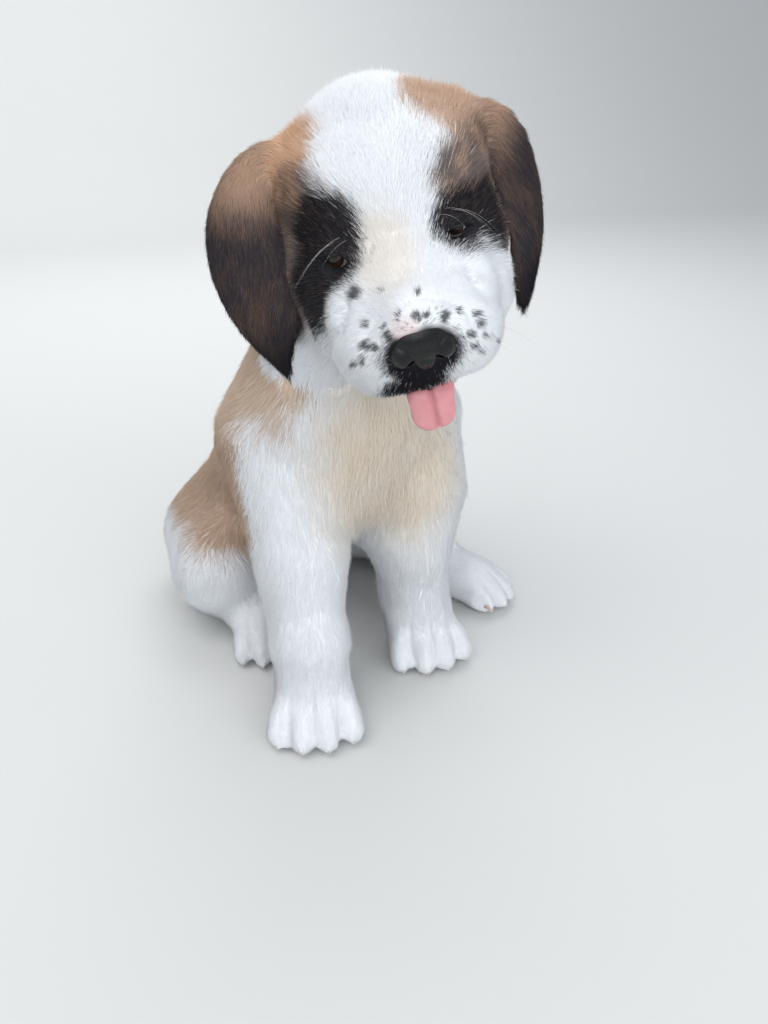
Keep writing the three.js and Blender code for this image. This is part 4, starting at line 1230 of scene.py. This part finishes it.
class PUPPY_OT_coat(bpy.types.Operator):
    """The fur, in tapered tufts that follow the lie of the coat"""

    bl_idname = "puppy.coat"
    bl_label = "Coat"

    def execute(self, context):
        skin = bpy.data.objects["skin"]
        surface = Surface(skin.data)
        label = np.empty(len(surface.points), np.float32)
        skin.data.attributes["node"].data.foreach_get("value", label)
        nodes = np.array(FLESH)[label.astype(int)]
        areas = coat_areas(surface.points, nodes)
        fields = self.fields(surface, areas, context.scene.puppy_coat)
        fields.update(points=surface.points, normals=surface.normals, lie=lie_of_coat(surface, nodes, areas))
        rng = np.random.default_rng(20)
        corner, weights = scatter(surface, fields.pop("crowd"), rng)
        rooted = {
            key: np.einsum("nk,nk...->n...", weights, values[corner]) for key, values in fields.items()}
        locks = self.locks(rooted, rng)
        colours = coat_colours(locks[0], nodes[corner[:, 0]], STRAY, 77)
        pieces = piece_of(surface.points, nodes, areas)
        self.build(skin, locks, colours, pieces[corner[:, 0]])
        return {"FINISHED"}

    @classmethod
    def fields(cls, surface, areas, settings):
        """The crowd, length, width and lift of the fur at each point of the skin."""
        field = {}
        for key, rounds in AREA_BLEND.items():
            raw = np.array([AREAS[area][key] for area in areas], float)
            field[key] = surface.spread(raw, rounds)
        height = surface.points[:, 2]
        short, bare = cls.face_limits(to_head(surface.points))
        on_toes = 0.45 + 0.55 * smooth_step(height, 0.004, 0.020)
        field["length"] *= short * settings.growth * np.where(areas == "paw", on_toes, 1)
        field["crowd"] *= settings.crowd * (1 - bare) * (height > SOLE_HEIGHT)
        return field

    @staticmethod
    def locks(rooted, rng):
        """Root, normal, lie, length, width, lift and curl of every tuft, each with its own luck."""
        roots, normals, run = rooted["points"], unit(rooted["normals"]), rooted["lie"]
        count = len(roots)
        run += unit(np.cross(normals, run)) * (0.30 * noise(roots, 0.018, 51))[:, None]
        run += unit(np.cross(normals, run)) * (0.14 * noise(roots, 0.006, 55))[:, None]
        run += unit(np.cross(normals, run)) * rng.normal(0, 0.13, count)[:, None]
        run = unit(run - normals * np.sum(run * normals, axis=1, keepdims=True))
        length = rooted["length"] * MM * rng.uniform(0.72, 1.18, count)
        width = rooted["width"] * MM * rng.uniform(0.8, 1.2, count)
        lift = np.radians(rooted["lift"]) * rng.uniform(0.6, 1.3, count)
        lift *= 1 + 0.25 * noise(roots, 0.012, 61)
        lift *= np.where(rng.random(count) > 0.94, 1.9, 1.0)
        curl = rng.normal(0, 0.12, count) + 0.15 * noise(roots, 0.012, 71)
        return roots, normals, run, length, width, lift, curl

    @staticmethod
    def build(skin, locks, colours, piece):
        """One object for each piece of the coat."""
        material = fur_finish()
        unwrap = Unwrap(skin)
        shade = np.array((ROOT_SHADE, ROOT_SHADE, ROOT_SHADE, 1.0))
        total = 0
        for name in COAT_PIECES:
            mine = piece == name
            points, facing, triangles = tufts(*(values[mine] for values in locks))
            if len(triangles) >= PIECE_LIMIT:
                raise RuntimeError(f"coat_{name} has {len(triangles)} triangles")
            obj = mesh_of("coat_" + name, points.reshape(-1, 3), triangles)
            soft = obj.data.attributes.new("custom_normal", "FLOAT_VECTOR", "POINT")
            soft.data.foreach_set("vector", facing.astype(np.float32).ravel())
            # painted shade: each tuft is darkened at its root, as if in the shade of the coat round it
            tinted = colours[mine][:, None] * shade[None, :, None]
            set_colour(obj.data, "coat_colour", tinted.reshape(-1, 3))
            bake_map(obj.data, unwrap.places((name,), locks[0][mine]), 1)
            dress(obj, material, "coat")
            total += len(triangles)
        unwrap.remove()
        print(f"coat: {total} triangles")

    @staticmethod
    def face_limits(head):
        """How short the fur is about the eyes and nose, and where there is none."""
        short = np.ones(len(head))
        bare = np.zeros(len(head))
        nose = np.linalg.norm((head - NOSE_OVAL[0]) / np.array(NOSE_OVAL[1]), axis=1)
        short *= 0.60 + 0.40 * smooth_step(nose, 1.0, 1.9)
        bare = np.maximum(bare, nose < 0.93)
        for side in SIDES.values():
            place = eye_place(head, side)
            near = np.linalg.norm(place, axis=1)
            share = opening_share(place, side)
            short *= 0.40 + 0.60 * smooth_step(near, 11, 20)
            bare = np.maximum(bare, (share < 1.16) & (place[:, 2] > 0) & (near < 15))
        return short, bare


# Long single hairs

BROW_HAIRS = (  # root over the right eye, the way it leaves and its length and droop, mm
    ((-27, -58, 14), (-0.9, -0.35, 0.10), 22, 12),
    ((-30, -57, 12), (-0.9, -0.40, 0.02), 25, 15),
    ((-33, -56, 11), (-0.9, -0.30, -0.15), 22, 11),
    ((-24, -59, 12), (-0.7, -0.55, 0.25), 17, 9),
)
WHISKER_ROWS = (  # root on the right side of the muzzle, and the way a whisker leaves it
    ((-24, -108, -22), (-0.7, -0.5, -0.2)),
    ((-27, -106, -28), (-0.8, -0.4, -0.35)),
    ((-30, -101, -24), (-0.9, -0.25, -0.2)),
    ((-32, -98, -31), (-0.9, -0.2, -0.4)),
    ((-33, -93, -27), (-0.95, -0.1, -0.25)),
    ((-34, -90, -36), (-0.9, 0.0, -0.5)),
)
HEAD_PIECES = ("muzzle", "face_left", "face_right", "crown")
HAIR_SIDES = 3
HAIR_STEPS = 9


def long_hair(start, heading, length, droop, radius):
    """One tapered, drooping hair as points and triangles, in metres."""
    heading = unit(heading)
    points = []
    for step in range(HAIR_STEPS):
        share = step / HAIR_STEPS
        middle = start + heading * length * share + np.array((0, 0, -1)) * droop * share**2
        along = unit(heading * length + np.array((0, 0, -2)) * droop * share)
        side = unit(np.cross(along, (0, 0, 1)))
        up = np.cross(side, along)
        size = radius * (1 - 0.85 * share)
        for corner in range(HAIR_SIDES):
            turn = 2 * math.pi * corner / HAIR_SIDES
            points.append(middle + (side * math.cos(turn) - up * math.sin(turn)) * size)
    points.append(start + heading * length + np.array((0, 0, -1)) * droop)
    faces = [(0, 2, 1)]
    for ring in range(HAIR_STEPS - 1):
        for corner in range(HAIR_SIDES):
            a = HAIR_SIDES * ring + corner
            b = HAIR_SIDES * ring + (corner + 1) % HAIR_SIDES
            faces += [(a, b, b + HAIR_SIDES), (a, b + HAIR_SIDES, a + HAIR_SIDES)]
    last = HAIR_SIDES * (HAIR_STEPS - 1)
    faces += [(last + k, last + (k + 1) % HAIR_SIDES, last + HAIR_SIDES) for k in range(HAIR_SIDES)]
    return np.array(points), np.array(faces)


class PUPPY_OT_whiskers(bpy.types.Operator):
    """Long pale hairs over the eyes and on the muzzle"""

    bl_idname = "puppy.whiskers"
    bl_label = "Whiskers and brow hairs"

    def execute(self, context):
        skin = bpy.data.objects["skin"]
        surface = Surface(skin.data)
        tree = BVHTree.FromPolygons(surface.points.tolist(), surface.triangles.tolist())
        points, faces, starts, count = [], [], [], 0
        rng = np.random.default_rng(8)
        for side in SIDES.values():
            flip = np.array((-side, 1, 1))
            hairs = []
            for root, heading, length, droop in BROW_HAIRS:
                hairs.append((root, heading, length * MM, droop * MM, 0.00007))
            for root, heading in WHISKER_ROWS:
                hairs.append((root, heading, rng.uniform(0.015, 0.022), 0.006, 0.00007))
            for root, heading, length, droop, radius in hairs:
                start = tree.find_nearest(from_head(np.array(root) * flip).tolist())[0]
                way = head_direction(np.array(heading) * flip)
                hair, triangles = long_hair(np.array(start), way, length, droop, radius)
                starts.append(start)
                points.append(hair)
                faces.append(triangles + count)
                count += len(hair)
        obj = mesh_of("whiskers", np.concatenate(points), np.concatenate(faces))
        set_colour(obj.data, "coat_colour", np.tile(linear(206, 200, 194), (count, 1)))
        unwrap = Unwrap(skin)
        bake_map(obj.data, unwrap.places(HEAD_PIECES, np.array(starts)), HAIR_STEPS)
        unwrap.remove()
        dress(obj, whisker_finish(), "coat")
        return {"FINISHED"}


# Eyes and lids

GAZE = {"left": (0.0, -1.0, 0.10), "right": (-0.46, -1.0, 0.36)}
EYE_SPREAD = 1.4  # how quickly the rings of the eye follow each other from the pupil outwards
CORNEA_RISE = 0.07  # how far the cornea stands out, as a share of the eyeball's radius
LID_MOIST_AND_SHADE = {"left": 0.1, "right": 1.0}  # how much of each lid's pale inner rim shows; the left one is mostly covered by painted shade
LID_TURNS = 72
LID_SIDES = 14


class PUPPY_OT_eyes(bpy.types.Operator):
    """Both eyeballs, each with a raised cornea over its iris and pupil"""

    bl_idname = "puppy.eyes"
    bl_label = "Eyes"

    def execute(self, context):
        settings = context.scene.puppy_face
        material = eye_finish(tuple(settings.iris))
        for name, side in SIDES.items():
            centre = Vector(from_head(EYE_AT * (side, 1, 1)))
            gaze = Vector(head_direction(GAZE[name])).normalized()
            deselect_all()
            bpy.ops.mesh.primitive_uv_sphere_add(
                segments=64, ring_count=40, radius=settings.eye_radius, location=centre,
                rotation=gaze.to_track_quat("Z", "Y").to_euler())
            eye = bpy.context.object
            bpy.ops.object.transform_apply(location=True, rotation=True, scale=True)
            eye.name = f"eyeball_{name}"
            surface = Surface(eye.data)
            spoke = surface.points - np.array(centre)
            angle = np.arccos(np.clip(unit(spoke) @ np.array(gaze), -1, 1))
            rise = CORNEA_RISE * np.maximum(0, np.cos(np.minimum(angle / 0.78, 1) * math.pi / 2)) ** 1.2
            move_points(eye, np.array(centre) + spoke * (1 + rise)[:, None])
            set_number(eye.data, "eye_ring", angle / math.pi * EYE_SPREAD)
            smooth_surface(eye)
            dress(eye, material, "eye", f"eye_{name}")
        return {"FINISHED"}


class PUPPY_OT_lids(bpy.types.Operator):
    """The rounded dark edges of the upper and lower lids"""

    bl_idname = "puppy.lids"
    bl_label = "Eyelids"

    def execute(self, context):
        settings = context.scene.puppy_face
        material = lid_finish()
        for name, side in SIDES.items():
            deselect_all()
            bpy.ops.mesh.primitive_torus_add(
                major_segments=LID_TURNS, minor_segments=LID_SIDES, major_radius=1, minor_radius=0.25)
            lid = bpy.context.object
            lid.name = f"lids_{name}"
            place, moist = self.ring(Surface(lid.data).points, side, settings)
            axes = np.stack(eye_axes(side), axis=0)
            # painted shade: the left lid's pale rim is darkened
            set_number(lid.data, "moist", LID_MOIST_AND_SHADE[name] * moist)
            move_points(lid, from_head(EYE_AT * (side, 1, 1) + place @ axes))
            bpy.ops.object.mode_set(mode="EDIT")
            bpy.ops.mesh.select_all(action="SELECT")
            bpy.ops.mesh.normals_make_consistent(inside=False)
            bpy.ops.object.mode_set(mode="OBJECT")
            smooth_surface(lid)
            dress(lid, material, "eye")
        return {"FINISHED"}

    @staticmethod
    def ring(points, side, settings):
        """A torus drawn over an eye's opening, in the eye's own axes, and how moist each point is."""
        x, y, z = points.T
        wide, tall = EYE_SLITS[side]
        around = np.arctan2(y, x)
        tube = np.stack((np.hypot(x, y) - 1, z), axis=1) / 0.25
        pinch = np.abs(np.cos(around)) ** 3
        height = np.where(np.sin(around) > 0, tall - 0.5, tall - 0.2)
        across = np.cos(around) * (wide - 0.3)
        up = np.sin(around) * height * (1 - 0.28 * pinch) + 0.2
        reach = settings.eye_radius / MM + 0.35
        out = np.sqrt(np.maximum(reach**2 - across**2 - up**2, 4))
        middle = np.stack((across, up, out), axis=1)
        spoke = unit(middle)
        rim = unit(np.stack((np.cos(around) * tall, np.sin(around) * wide, 0 * out), axis=1))
        rim = unit(rim - spoke * np.sum(rim * spoke, axis=1, keepdims=True))
        radius = settings.lid_width / MM * (1 + 0.25 * (np.sin(around) > 0))
        thickness = rim * tube[:, :1] * 1.5 + spoke * (tube[:, 1:] + 0.2)
        inner = (-tube[:, 0] > 0.25) & (tube[:, 1] > -0.3)
        nasal = smooth_step(-np.cos(around) * side, 0.55, 0.95)
        lower = smooth_step(-np.sin(around), 0.0, 0.5)
        moist = inner * np.maximum(0.55 * lower, 0.8 * nasal)
        return middle + thickness * radius[:, None], moist


# Nose, tongue and claws

# The round forms that make up the nose: centre and radii in the head's frame, on both sides where
# they lie off the middle, then each nostril from its round inner end to the slit at its side.
NOSE_LOBES = (
    ((0, -109, -22), (15.6, 11.0, 10.3)),
    ((9.6, -112.2, -24), (7.0, 8.4, 6.9)),
    ((0, -110.5, -17.8), (12.6, 9.4, 7.0)),
    ((0, -112.6, -28.5), (6.0, 7.2, 6.0)),
)
NOSTRIL = (
    ((6.4, -120, -26.8), 2.2), ((8.9, -119.2, -28.6), 1.9), ((12.6, -116.4, -29.4), 1.2),
    ((15.8, -112.6, -28), 0.7))
NOSE_GROOVE = ((0, -121.5, -20.5), (0, -121.5, -26), (0, -118, -34))
TONGUE_MIDDLE = -1.2  # the tongue's groove lies at this x of the head's frame, mm


class PUPPY_OT_nose(bpy.types.Operator):
    """The bare nose with its nostrils and the groove below them"""

    bl_idname = "puppy.nose"
    bl_label = "Nose"

    def execute(self, context):
        nose = self.join_lobes()
        apply_modifier(nose, "REMESH", mode="VOXEL", voxel_size=0.0005, use_smooth_shade=True)
        apply_modifier(nose, "SMOOTH", factor=0.5, iterations=10)
        head = to_head(Surface(nose.data).points)
        hollow = np.zeros(len(head))
        for side in SIDES.values():
            hollow = np.maximum(hollow, self.nostril(head, side))
        groove = np.exp(-(distance_to_line(head, NOSE_GROOVE) / 0.9) ** 2)
        head += hollow[:, None] * np.array((0, 5.0, 1.0)) + groove[:, None] * np.array((0, 1.2, 0))
        move_points(nose, from_head(head))
        # the hollow also sets the painted shade of the nostrils and of the groove
        set_number(nose.data, "hollow", np.clip(hollow + 0.5 * groove, 0, 1))
        smooth_surface(nose)
        dress(nose, nose_finish(tuple(context.scene.puppy_face.nose)), "nose_skin", "nose")
        return {"FINISHED"}

    @staticmethod
    def join_lobes():
        """The round forms of the nose as one object."""
        deselect_all()
        lobes = []
        turn = Matrix(HEAD_AXES.tolist()).to_euler()
        for centre, radii in NOSE_LOBES:
            for side in SIDES.values() if centre[0] else (1,):
                place = from_head(np.array(centre) * (side, 1, 1))
                bpy.ops.mesh.primitive_uv_sphere_add(
                    segments=32, ring_count=20, radius=MM, location=place, rotation=turn, scale=radii)
                lobes.append(bpy.context.object)
        for lobe in lobes:
            lobe.select_set(True)
        bpy.ops.object.join()
        nose = bpy.context.object
        nose.name = "nose_pad"
        bpy.ops.object.transform_apply(location=True, rotation=True, scale=True)
        return nose

    @staticmethod
    def nostril(head, side):
        """How far one nostril hollows the nose at each point."""
        hollow = np.zeros(len(head))
        for (start, wide), (end, narrow) in zip(NOSTRIL[:-1], NOSTRIL[1:]):
            start, end = np.array(start) * (side, 1, 1), np.array(end) * (side, 1, 1)
            along = end - start
            share = np.clip((head - start) @ along / (along @ along), 0, 1)
            gap = np.linalg.norm(head - start - share[:, None] * along, axis=1)
            radius = wide + (narrow - wide) * share
            depth = 1 - smooth_step(gap, 0.45 * radius, 1.15 * radius)
            hollow = np.maximum(hollow, radius / 2.4 * depth)
        return hollow


class PUPPY_OT_tongue(bpy.types.Operator):
    """The tip of the tongue over the lower lip, with its middle groove"""

    bl_idname = "puppy.tongue"
    bl_label = "Tongue"

    def execute(self, context):
        tongue = copy_of("tongue_tip", ("tongue",))
        apply_modifier(tongue, "REMESH", mode="VOXEL", voxel_size=0.0008, use_smooth_shade=True)
        apply_modifier(tongue, "SMOOTH", factor=0.5, iterations=10)
        surface = Surface(tongue.data)
        head = to_head(surface.points)
        groove = np.exp(-((head[:, 0] - TONGUE_MIDDLE) / 1.6) ** 2) * smooth_step(-head[:, 1], 80, 100)
        groove *= smooth_step(surface.normals @ head_direction((0, -0.6, 0.8)), 0.0, 0.5)
        move_points(tongue, surface.points - surface.normals * (groove * 0.0016)[:, None])
        # the groove's depth also sets its painted shade
        set_number(tongue.data, "groove", groove)
        head = to_head(Surface(tongue.data).points)
        end = smooth_step(-head[:, 2], -head[:, 2].min() - 9, -head[:, 2].min())
        notch = np.exp(-((head[:, 0] - TONGUE_MIDDLE) / 2.6) ** 2)
        head[:, 0] = TONGUE_MIDDLE + (head[:, 0] - TONGUE_MIDDLE) * (1 + 0.07 * end)
        head[:, 2] += 1.7 * notch * end
        move_points(tongue, from_head(head))
        smooth_surface(tongue)
        dress(tongue, tongue_finish(tuple(context.scene.puppy_face.tongue)), "tongue", "tongue")
        return {"FINISHED"}


class PUPPY_OT_claws(bpy.types.Operator):
    """A curved claw at the tip of each toe"""

    bl_idname = "puppy.claws"
    bl_label = "Claws"

    def execute(self, context):
        settings = context.scene.puppy_face
        pattern = self.one_claw(settings.claw_length)
        material = claw_finish(tuple(settings.claw))
        for paw, facts in PAWS.items():
            length, width, height = facts["size"]
            aim = Matrix.Rotation(math.radians(PAW_AIMS[paw]), 4, "Z")
            base = Matrix.Translation(Vector((*facts["at"], 0)) * MM + Vector(DRAWN_AT * (1, 1, 0)))
            deselect_all()
            claws = []
            for toe in TOES:
                reach = -length * (0.31 if abs(toe) < 1 else 0.2) - length * 0.075
                tip = Vector((toe * width * 0.247, reach - length * 0.07, height * 0.22)) * MM
                fan = Matrix.Rotation(math.radians(toe * 7), 4, "Z")
                claw = bpy.data.objects.new("claw", pattern.data.copy())
                bpy.context.scene.collection.objects.link(claw)
                claw.data.transform(base @ aim @ Matrix.Translation(tip) @ fan)
                claw.select_set(True)
                claws.append(claw)
            bpy.context.view_layer.objects.active = claws[0]
            bpy.ops.object.join()
            claws[0].name = f"claws_{paw}"
            smooth_surface(claws[0])
            dress(claws[0], material, "claw")
        bpy.data.objects.remove(pattern)
        return {"FINISHED"}

    @staticmethod
    def one_claw(length):
        """One claw at the origin: its root lies behind and its tip curves down in front."""
        deselect_all()
        bpy.ops.mesh.primitive_cone_add(
            vertices=16, radius1=0.0024, radius2=0.0007, depth=length, location=(0, 0, 0),
            rotation=(math.radians(90), 0, 0))
        claw = bpy.context.object
        bpy.ops.object.transform_apply(location=True, rotation=True, scale=True)
        bpy.ops.object.mode_set(mode="EDIT")
        bpy.ops.mesh.select_all(action="SELECT")
        bpy.ops.mesh.subdivide(number_cuts=3)
        bpy.ops.object.mode_set(mode="OBJECT")
        surface = Surface(claw.data)
        points = surface.points.copy()
        share = np.clip(0.5 - points[:, 1] / length, 0, 1)
        points[:, 0] *= 0.72
        points[:, 2] -= 0.0022 * share**2
        move_points(claw, points)
        set_number(claw.data, "root", 1 - share)
        return claw


# Stage

FLOOR_BEND = 2.2  # the floor rises behind this y, m


class PUPPY_OT_stage(bpy.types.Operator):
    """The floor, the lights and the camera"""

    bl_idname = "puppy.stage"
    bl_label = "Stage"

    def execute(self, context):
        settings = context.scene.puppy_stage
        self.lay_floor(tuple(settings.floor))
        self.light("key", (-0.75, -0.35, 1.55), settings.key, 1.3, (1.0, 0.99, 0.97), (0, 0, 0.2))
        self.light("fill", (0.1, -1.8, 0.55), settings.fill, 1.8, (0.95, 0.98, 1.0), (0, 0, 0.15), False)
        self.light("spark", (-0.8, -1.1, 1.2), settings.spark, 0.16, (1, 1, 1), (0, 0, 0.3))
        self.light("top", (0.5, 0.9, 1.6), settings.top, 1.2, (0.93, 0.97, 1.0), (0, 0, 0.2))
        self.light("backdrop", (0, 1.6, 2.6), settings.backdrop, 2.5, (1, 1, 1), (0, 4.2, 0.6))
        world = bpy.data.worlds.new("sky")
        world.use_nodes = True
        background = world.node_tree.nodes["Background"]
        background.inputs["Color"].default_value = (0.86, 0.92, 1.0, 1)
        background.inputs["Strength"].default_value = settings.sky
        context.scene.world = world
        context.scene.view_settings.view_transform = "Standard"
        self.place_camera(context)
        return {"FINISHED"}

    @staticmethod
    def lay_floor(colour):
        """A wide sheet that turns up far behind the dog."""
        deselect_all()
        bpy.ops.mesh.primitive_grid_add(x_subdivisions=8, y_subdivisions=80, size=9, location=(0, 1.5, 0))
        floor = bpy.context.object
        bpy.ops.object.transform_apply(location=True, rotation=True, scale=True)
        floor.name = "floor"
        points = Surface(floor.data).points.copy()
        beyond = np.maximum(points[:, 1] - FLOOR_BEND, 0)
        points[:, 2] = beyond**2 * 0.45
        move_points(floor, points)
        smooth_surface(floor)
        floor.data.materials.append(floor_finish(colour))

    @staticmethod
    def light(name, place, power, size, colour, target, mirrored=True):
        """One soft square light that faces a target. Wet surfaces mirror it or leave it out."""
        data = bpy.data.lights.new(name, "AREA")
        data.energy = power
        data.size = size
        data.color = colour
        lamp = bpy.data.objects.new(name, data)
        lamp.location = place
        aim = Vector(target) - Vector(place)
        lamp.rotation_euler = aim.to_track_quat("-Z", "Y").to_euler()
        lamp.visible_glossy = mirrored
        bpy.context.scene.collection.objects.link(lamp)

    @staticmethod
    def place_camera(context):
        """The camera stands where the photograph was taken from."""
        data = bpy.data.cameras.new("camera")
        data.sensor_width = 36
        data.lens = CAMERA_LENS
        camera = bpy.data.objects.new("camera", data)
        camera.location = HEAD_AT + CAMERA_FROM_HEAD
        heading, dip = math.radians(CAMERA_HEADING), math.radians(CAMERA_DIP)
        way = Vector((math.sin(heading) * math.cos(dip), math.cos(heading) * math.cos(dip), -math.sin(dip)))
        camera.rotation_euler = way.to_track_quat("-Z", "Y").to_euler()
        context.scene.collection.objects.link(camera)
        context.scene.camera = camera


# Panel and registration

OPERATORS = (
    PUPPY_OT_skin, PUPPY_OT_coat, PUPPY_OT_whiskers, PUPPY_OT_eyes, PUPPY_OT_lids,
    PUPPY_OT_nose, PUPPY_OT_tongue, PUPPY_OT_claws, PUPPY_OT_stage,
)
SETTINGS = {
    "puppy_coat": PuppyCoatSettings,
    "puppy_face": PuppyFaceSettings,
    "puppy_stage": PuppyStageSettings,
}


class PUPPY_PT_panel(bpy.types.Panel):
    """Sizes, colours and the steps that build the puppy"""

    bl_idname = "PUPPY_PT_panel"
    bl_label = "Puppy"
    bl_space_type = "VIEW_3D"
    bl_region_type = "UI"
    bl_category = "Puppy"

    def draw(self, context):
        layout = self.layout
        for name, group in SETTINGS.items():
            box = layout.box()
            for key in group.__annotations__:
                box.prop(getattr(context.scene, name), key)
        for operator in OPERATORS:
            layout.operator(operator.bl_idname)


def register():
    """Registers the settings, the steps and the panel."""
    for cls in (*SETTINGS.values(), *OPERATORS, PUPPY_PT_panel):
        bpy.utils.register_class(cls)
    for name, group in SETTINGS.items():
        setattr(bpy.types.Scene, name, bpy.props.PointerProperty(type=group))


def unregister():
    """Takes all of them away again."""
    for name in SETTINGS:
        delattr(bpy.types.Scene, name)
    for cls in (PUPPY_PT_panel, *reversed(OPERATORS), *SETTINGS.values()):
        bpy.utils.unregister_class(cls)


def main():
    """Builds the puppy step by step."""
    register()
    bpy.ops.puppy.skin()
    bpy.ops.puppy.coat()
    bpy.ops.puppy.whiskers()
    bpy.ops.puppy.eyes()
    bpy.ops.puppy.lids()
    bpy.ops.puppy.nose()
    bpy.ops.puppy.tongue()
    bpy.ops.puppy.claws()
    bpy.ops.puppy.stage()


if __name__ == "__main__":
    main()
